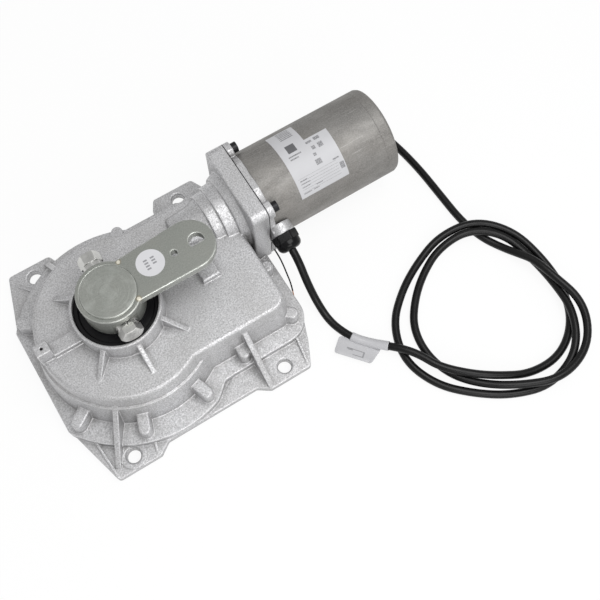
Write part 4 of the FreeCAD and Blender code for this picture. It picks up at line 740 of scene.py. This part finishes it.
class OPENER_OT_waist_plate(bpy.types.Operator):
    """Close the open corner at the narrow part of the case's foot"""
    bl_idname = "opener.waist_plate"
    bl_label = "Waist plate"

    def execute(self, context):
        edit = bmesh.new()
        base = edit.faces.new([edit.verts.new((x * MM, y * MM, WAIST_LOW * MM)) for x, y in WAIST_CORNERS])
        raised = bmesh.ops.extrude_face_region(edit, geom=[base], use_keep_orig=True)["geom"]
        for vert in [part for part in raised if isinstance(part, bmesh.types.BMVert)]:
            vert.co.z = WAIST_HIGH * MM
        plate = from_edit("case_waist_plate", edit, "cast_aluminium")
        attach(plate, "case")
        return {"FINISHED"}


# Rings of the tall nut: mm back from its end, share of its reach, and whether the ring has six sides
NUT_COLLAR = 0.9936
NUT_RINGS = [(10.3, NUT_COLLAR, False), (10.0, 0.94, True), (9.1, 1.0, True), (1.3, 1.0, True),
             (0.3, 0.90, True), (0.0, 0.9072, False)]
NUT_PAST_BOLT = 1.0 * MM
# The corners of a six sided ring are turned off this far outside its share
NUT_CORNER = 0.1 * MM
SIXTH = math.tau / 6.0


def nut_reach(angle, across, share, six):
    """How far a ring reaches at an angle: a hexagon with its corners turned off, or a plain round."""
    if not six:
        return across * share
    from_flat = (angle + SIXTH / 2.0) % SIXTH - SIXTH / 2.0
    return min(across / math.cos(from_flat), across / math.cos(SIXTH / 2.0) * share + NUT_CORNER)


class OPENER_OT_clamp_nut(bpy.types.Operator):
    """Make the tall nut on the far end of the lever's cross bolt"""
    bl_idname = "opener.clamp_nut"
    bl_label = "Clamp nut"

    def execute(self, context):
        low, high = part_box("clamp_nut")
        bolt_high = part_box("clamp_bolt")[1]
        middle = (low + high) / 2.0
        across = min(high.x - low.x, high.z - low.z) / 2.0
        end = bolt_high.y + NUT_PAST_BOLT
        rings = [(low.y, NUT_COLLAR, False)] + [(end - back * MM, share, six) for back, share, six in NUT_RINGS]
        angles = [math.tau * k / ROUND_STEPS for k in range(ROUND_STEPS)]
        edit = bmesh.new()
        rows = []
        for y, share, six in rings:
            row = []
            for angle in angles:
                reach = nut_reach(angle, across, share, six)
                place = (middle.x + reach * math.sin(angle), y, middle.z + reach * math.cos(angle))
                row.append(edit.verts.new(place))
            rows.append(row)
        for first, second in zip(rows, rows[1:]):
            for k in range(ROUND_STEPS):
                after = (k + 1) % ROUND_STEPS
                edit.faces.new((first[k], first[after], second[after], second[k]))
        edit.faces.new(rows[0])
        edit.faces.new(rows[-1])
        nut = from_edit("tall_clamp_nut", edit, "bolt_steel")
        smooth_by_angle(nut, 25.0)
        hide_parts("clamp_nut")
        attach(nut, "output")
        return {"FINISHED"}


# Tag: a sleeve round the lead and a flat flag beside it. Places of the sleeve's start and of the print's
# middle, and the flag's direction
TAG_START = Vector((150.3, -110.8, 0.0)) * MM
TAG_ALONG = Vector((0.636, -0.772, 0.0))
TAG_PRINT = Vector((144.8, -126.5, 0.0)) * MM
# The flag's corners in mm, their rounding, its wall as a share of the sleeve's, and the rounding of its rims
TAG_CORNERS = [(140.6, -103.9), (126.9, -115.6), (150.6, -143.6), (167.4, -136.2)]
TAG_ROUNDING = 3.2 * MM
TAG_ROUND_STEPS = 6
TAG_FLAG_WALL = 1.4
TAG_RIM = 0.25 * MM
# Play between the sleeve and the lead
TAG_PLAY = 0.1 * MM
# The flag's curl in mm per square mm: up towards its free edge, down past a place along it
TAG_RISE = 0.006
TAG_DROP = 0.0025
TAG_DROP_FROM = 22.0
# The lead runs at least this far before its tag
TAG_LEAST = 0.06


def sleeve_tree():
    """Geometry Nodes: a tube wall along a stretch of a curve, with its rings and sides as inputs."""
    tree = bpy.data.node_groups.new("Sleeve along a path", "GeometryNodeTree")
    tree.interface.new_socket("Path", in_out="INPUT", socket_type="NodeSocketGeometry")
    sockets = {}
    for title, kind, value in (("From", "Float", 0.0), ("To", "Float", 0.1), ("Radius", "Float", 5 * MM),
                               ("Rings", "Int", 40), ("Sides", "Int", 40), ("Finish", "Material", None)):
        socket = tree.interface.new_socket(title, in_out="INPUT", socket_type="NodeSocket" + kind)
        if value is not None:
            socket.default_value = value
        sockets[title] = socket.identifier
    tree.interface.new_socket("Wall", in_out="OUTPUT", socket_type="NodeSocketGeometry")
    inlet = tree.nodes.new("NodeGroupInput").outputs
    outlet = tree.nodes.new("NodeGroupOutput").inputs
    trim = tree.nodes.new("GeometryNodeTrimCurve")
    trim.mode = "LENGTH"
    divide = tree.nodes.new("GeometryNodeResampleCurve")
    circle = tree.nodes.new("GeometryNodeCurvePrimitiveCircle")
    sweep = tree.nodes.new("GeometryNodeCurveToMesh")
    real = tree.nodes.new("GeometryNodeRealizeInstances")
    paint = tree.nodes.new("GeometryNodeSetMaterial")
    lengths = [socket for socket in trim.inputs if socket.enabled and socket.name in ("Start", "End")]
    links = tree.links
    links.new(inlet["Path"], trim.inputs["Curve"])
    links.new(inlet["From"], lengths[0])
    links.new(inlet["To"], lengths[1])
    links.new(trim.outputs["Curve"], divide.inputs["Curve"])
    links.new(inlet["Rings"], divide.inputs["Count"])
    links.new(inlet["Sides"], circle.inputs["Resolution"])
    links.new(inlet["Radius"], circle.inputs["Radius"])
    links.new(divide.outputs["Curve"], sweep.inputs["Curve"])
    links.new(circle.outputs["Curve"], sweep.inputs["Profile Curve"])
    links.new(sweep.outputs["Mesh"], real.inputs["Geometry"])
    links.new(real.outputs["Geometry"], paint.inputs["Geometry"])
    links.new(inlet["Finish"], paint.inputs["Material"])
    links.new(paint.outputs["Geometry"], outlet["Wall"])
    return tree, sockets


def as_mesh(obj, name):
    """The evaluated shape of an object as a new plain mesh object, in place of the old one."""
    bpy.context.view_layer.update()
    mesh = bpy.data.meshes.new_from_object(obj.evaluated_get(bpy.context.evaluated_depsgraph_get()))
    bpy.data.objects.remove(obj)
    return link(bpy.data.objects.new(name, mesh))


def thicken(obj, wall, offset, finish, bevel=0.0):
    """Gives a thin shell its wall, rounds its rims and paints it."""
    solidify = obj.modifiers.new("wall", "SOLIDIFY")
    solidify.thickness = wall
    solidify.offset = offset
    if bevel:
        round_off = obj.modifiers.new("rims", "BEVEL")
        round_off.width = bevel
        round_off.segments = 2
        round_off.limit_method = "ANGLE"
        round_off.angle_limit = math.radians(50.0)
    solid = as_mesh(obj, obj.name)
    solid.data.materials.clear()
    solid.data.materials.append(material(finish))
    edit = bmesh.new()
    edit.from_mesh(solid.data)
    bmesh.ops.recalc_face_normals(edit, faces=edit.faces)
    for face in edit.faces:
        face.smooth = True
        face.material_index = 0
    edit.to_mesh(solid.data)
    edit.free()
    return solid


def tag_sleeve(line):
    """The sleeve, swept along the lead's own line by Geometry Nodes."""
    settings = bpy.context.scene.opener_tag
    cable = bpy.context.scene.opener_cable
    start = 0.0
    for a, b in zip(line, line[1:]):
        leaving = (b.xy - TAG_START.xy).length > (a.xy - TAG_START.xy).length
        if leaving and start > TAG_LEAST:
            break
        start += (b - a).length
    host = link(bpy.data.objects.new("tag_sleeve_path", poly_curve(line)))
    tree, sockets = sleeve_tree()
    nodes = host.modifiers.new("sleeve", "NODES")
    nodes.node_group = tree
    values = {"From": start, "To": start + settings.sleeve_length, "Radius": cable.radius + settings.wall,
              "Finish": material("tag_film")}
    for title, value in values.items():
        nodes[sockets[title]] = value
    shell = as_mesh(host, "tag_sleeve")
    return thicken(shell, settings.wall - TAG_PLAY, -1.0, "tag_film")


def poly_curve(line):
    """A curve through the lead's evaluated points, for pieces that follow it."""
    curve = bpy.data.curves.new("lead_line", "CURVE")
    curve.dimensions = "3D"
    spline = curve.splines.new("POLY")
    spline.points.add(len(line) - 1)
    for target, point in zip(spline.points, line):
        target.co = (*point, 1.0)
    return curve


def tag_flag(height):
    """The flag: a thin plate with round corners, curling up a little at its free edge."""
    wall = bpy.context.scene.opener_tag.wall
    corners = [Vector((x, y, 0.0)) * MM for x, y in TAG_CORNERS]
    rim = []
    for i, corner in enumerate(corners):
        before = (corners[i - 1] - corner).normalized()
        after = (corners[(i + 1) % 4] - corner).normalized()
        start, end = corner + before * TAG_ROUNDING, corner + after * TAG_ROUNDING
        for k in range(TAG_ROUND_STEPS + 1):
            t = k / TAG_ROUND_STEPS
            rim.append(start * (1 - t) ** 2 + corner * 2 * t * (1 - t) + end * t ** 2)
    edit = bmesh.new()
    face = edit.faces.new([edit.verts.new(p) for p in rim])
    bmesh.ops.triangulate(edit, faces=[face])
    bmesh.ops.subdivide_edges(edit, edges=edit.edges, cuts=3, use_grid_fill=True)
    across = Vector((TAG_ALONG.y, -TAG_ALONG.x, 0.0))
    for vert in edit.verts:
        out = (vert.co - corners[0]).dot(across) / MM
        along = (vert.co - corners[0]).dot(TAG_ALONG) / MM
        curl = TAG_RISE * out ** 2 - TAG_DROP * max(0.0, along - TAG_DROP_FROM) ** 2
        vert.co.z = height + curl * MM
    return thicken(from_edit("tag_flag", edit, "tag_film"), wall * TAG_FLAG_WALL, 0.0, "tag_film", TAG_RIM)


# Control points of the earth wire from the motor flange to its bare end, in mm
WIRE_POINTS = [(132.3, 2.0, 17.5), (132.3, -8.0, 17.5), (132.0, -17.0, 11.0), (131.5, -24.5, 4.0),
               (130.3, -33.0, 0.95), (127.8, -40.0, 0.75)]


class OPENER_OT_earth_wire(bpy.types.Operator):
    """Hang the short earth wire from the motor flange to the floor"""
    bl_idname = "opener.earth_wire"
    bl_label = "Earth wire"

    def execute(self, context):
        radius = context.scene.opener_wire.radius
        wire = spline_curve("thin_earth_wire", [Vector(p) * MM for p in WIRE_POINTS], radius)
        wire.data.materials.append(material("cable_sheath"))
        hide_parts("earth_wire")
        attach(wire, "case")
        line_length(centre_line(wire))
        return {"FINISHED"}


class OPENER_OT_finishes(bpy.types.Operator):
    """Give every node of the opener its detailed finish"""
    bl_idname = "opener.finishes"
    bl_label = "Finishes"

    def execute(self, context):
        repaint_nodes()
        return {"FINISHED"}


class OPENER_OT_cable(bpy.types.Operator):
    """Lay the lead from the gland through its tag and coil to the bare ends"""
    bl_idname = "opener.cable"
    bl_label = "Cable"

    def execute(self, context):
        settings = context.scene.opener_cable
        lead = spline_curve("lead", cable_route(), settings.radius)
        lead.data.materials.append(material("cable_sheath"))
        line = centre_line(lead)
        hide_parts("cable_lead", "cable_coil", "cable_tail")
        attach(lead, "case")
        middle = (TAG_START + TAG_PRINT) / 2.0
        height = min(line, key=lambda p: (p.xy - middle.xy).length).z
        pieces = [tag_sleeve(line), tag_flag(height)]
        for piece in pieces:
            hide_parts("cable_tag")
            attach(piece, "case")
        return {"FINISHED"}


# Stage

# Camera: place in metres, its right, up and back directions, lens in mm
CAMERA_PLACE = Vector((-0.03488, -0.31748, 0.81310))
CAMERA_RIGHT = Vector((0.84900769, -0.52837781, -0.00168477))
CAMERA_UP = Vector((0.49376, 0.79224, 0.35854))
CAMERA_BACK = Vector((-0.18810817, -0.30523242, 0.93351405))
CAMERA_LENS = 53.61
# Lamps: name, place and size in metres, share of the softbox's power
LAMPS = [("softbox", (0.30, -0.35, 1.30), (1.0, 0.8), 1.0),
         ("front_fill", (-0.05, -1.25, 0.75), (0.9, 0.6), 0.55)]
LAMP_TARGET = (0.06, -0.03, 0.05)
# Floor: half its width, how far it lies below the feet, share of its own light that the camera sees
FLOOR_REACH = 4.0
FLOOR_DROP = 0.3 * MM
FLOOR_GLOW = 0.90
# Strength of the world as a light, the camera sees it at full strength
WORLD_LEVEL = 0.56


def area_light(name, place, size, power):
    lamp = bpy.data.lights.new(name, "AREA")
    lamp.shape = "RECTANGLE"
    lamp.size, lamp.size_y = size
    lamp.energy = power
    holder = link(bpy.data.objects.new(name, lamp))
    holder.location = place
    holder.rotation_euler = (Vector(place) - Vector(LAMP_TARGET)).to_track_quat("Z", "Y").to_euler()


class OPENER_OT_stage(bpy.types.Operator):
    """Set the camera, the pale floor, the lamps and the world"""
    bl_idname = "opener.stage"
    bl_label = "Stage"

    def execute(self, context):
        scene = context.scene
        settings = scene.opener_stage
        scene.view_settings.view_transform = "Standard"
        camera = bpy.data.cameras.new("camera")
        camera.lens = CAMERA_LENS
        camera.sensor_width = 36.0
        eye = link(bpy.data.objects.new("camera", camera))
        turn = Matrix((CAMERA_RIGHT, CAMERA_UP, CAMERA_BACK)).transposed()
        eye.matrix_world = Matrix.Translation(CAMERA_PLACE) @ turn.to_4x4()
        scene.camera = eye

        mesh = bpy.data.meshes.new("floor")
        sides = ((-1, -1), (1, -1), (1, 1), (-1, 1))
        corners = [(x * FLOOR_REACH, y * FLOOR_REACH, -FLOOR_DROP) for x, y in sides]
        mesh.from_pydata(corners, [], [(0, 1, 2, 3)])
        floor = link(bpy.data.objects.new("floor", mesh))
        s = Shader("pale_floor")
        s.set(Base_Color=tuple(settings.floor), Roughness=0.8)
        path = s.add("ShaderNodeLightPath")
        glow = s.add("ShaderNodeEmission")
        glow.inputs["Strength"].default_value = 1.0
        seen = s.math("MAXIMUM", path.outputs["Is Camera Ray"], path.outputs["Is Glossy Ray"])
        blend = s.add("ShaderNodeMixShader")
        s.links.new(s.math("MULTIPLY", seen, FLOOR_GLOW), blend.inputs[0])
        s.links.new(s.principled.outputs[0], blend.inputs[1])
        s.links.new(glow.outputs[0], blend.inputs[2])
        s.links.new(blend.outputs[0], s.nodes["Material Output"].inputs[0])
        mesh.materials.append(s.material)

        for name, place, size, share in LAMPS:
            area_light(name, place, size, settings.softbox * share)
        world = bpy.data.worlds.new("studio")
        scene.world = world
        world.use_nodes = True
        tree = world.node_tree
        background = tree.nodes["Background"]
        ray = tree.nodes.new("ShaderNodeLightPath")
        level = tree.nodes.new("ShaderNodeMapRange")
        level.inputs["To Min"].default_value = WORLD_LEVEL
        level.inputs["To Max"].default_value = 1.0
        tree.links.new(ray.outputs["Is Camera Ray"], level.inputs["Value"])
        tree.links.new(level.outputs[0], background.inputs["Strength"])
        background.inputs["Color"].default_value = (1, 1, 1, 1)
        return {"FINISHED"}


class OPENER_PT_panel(bpy.types.Panel):
    """Lists the opener's pieces"""
    bl_label = "Underground gate opener"
    bl_idname = "OPENER_PT_panel"
    bl_space_type = "VIEW_3D"
    bl_region_type = "UI"
    bl_category = "Opener"

    def draw(self, context):
        layout = self.layout
        for group in SETTINGS:
            settings = getattr(context.scene, group)
            for name in settings.__annotations__:
                layout.prop(settings, name)
        for operator in OPERATORS:
            layout.operator(operator.bl_idname)


OPERATORS = (OPENER_OT_stage, OPENER_OT_cable, OPENER_OT_earth_wire, OPENER_OT_worm_nose, OPENER_OT_waist_plate,
             OPENER_OT_clamp_nut, OPENER_OT_finishes)
SETTINGS = {"opener_cable": OpenerCable, "opener_tag": OpenerTag, "opener_wire": OpenerWire,
            "opener_finish": OpenerFinish, "opener_stage": OpenerStage}


def register():
    for group in SETTINGS.values():
        bpy.utils.register_class(group)
    for name, group in SETTINGS.items():
        setattr(bpy.types.Scene, name, bpy.props.PointerProperty(type=group))
    for operator in OPERATORS:
        bpy.utils.register_class(operator)
    bpy.utils.register_class(OPENER_PT_panel)


def unregister():
    bpy.utils.unregister_class(OPENER_PT_panel)
    for operator in reversed(OPERATORS):
        bpy.utils.unregister_class(operator)
    for name, group in SETTINGS.items():
        delattr(bpy.types.Scene, name)
        bpy.utils.unregister_class(group)


def main():
    register()
    for operator in OPERATORS:
        family, call = operator.bl_idname.split(".")
        getattr(getattr(bpy.ops, family), call)()


if __name__ == "__main__":
    main()
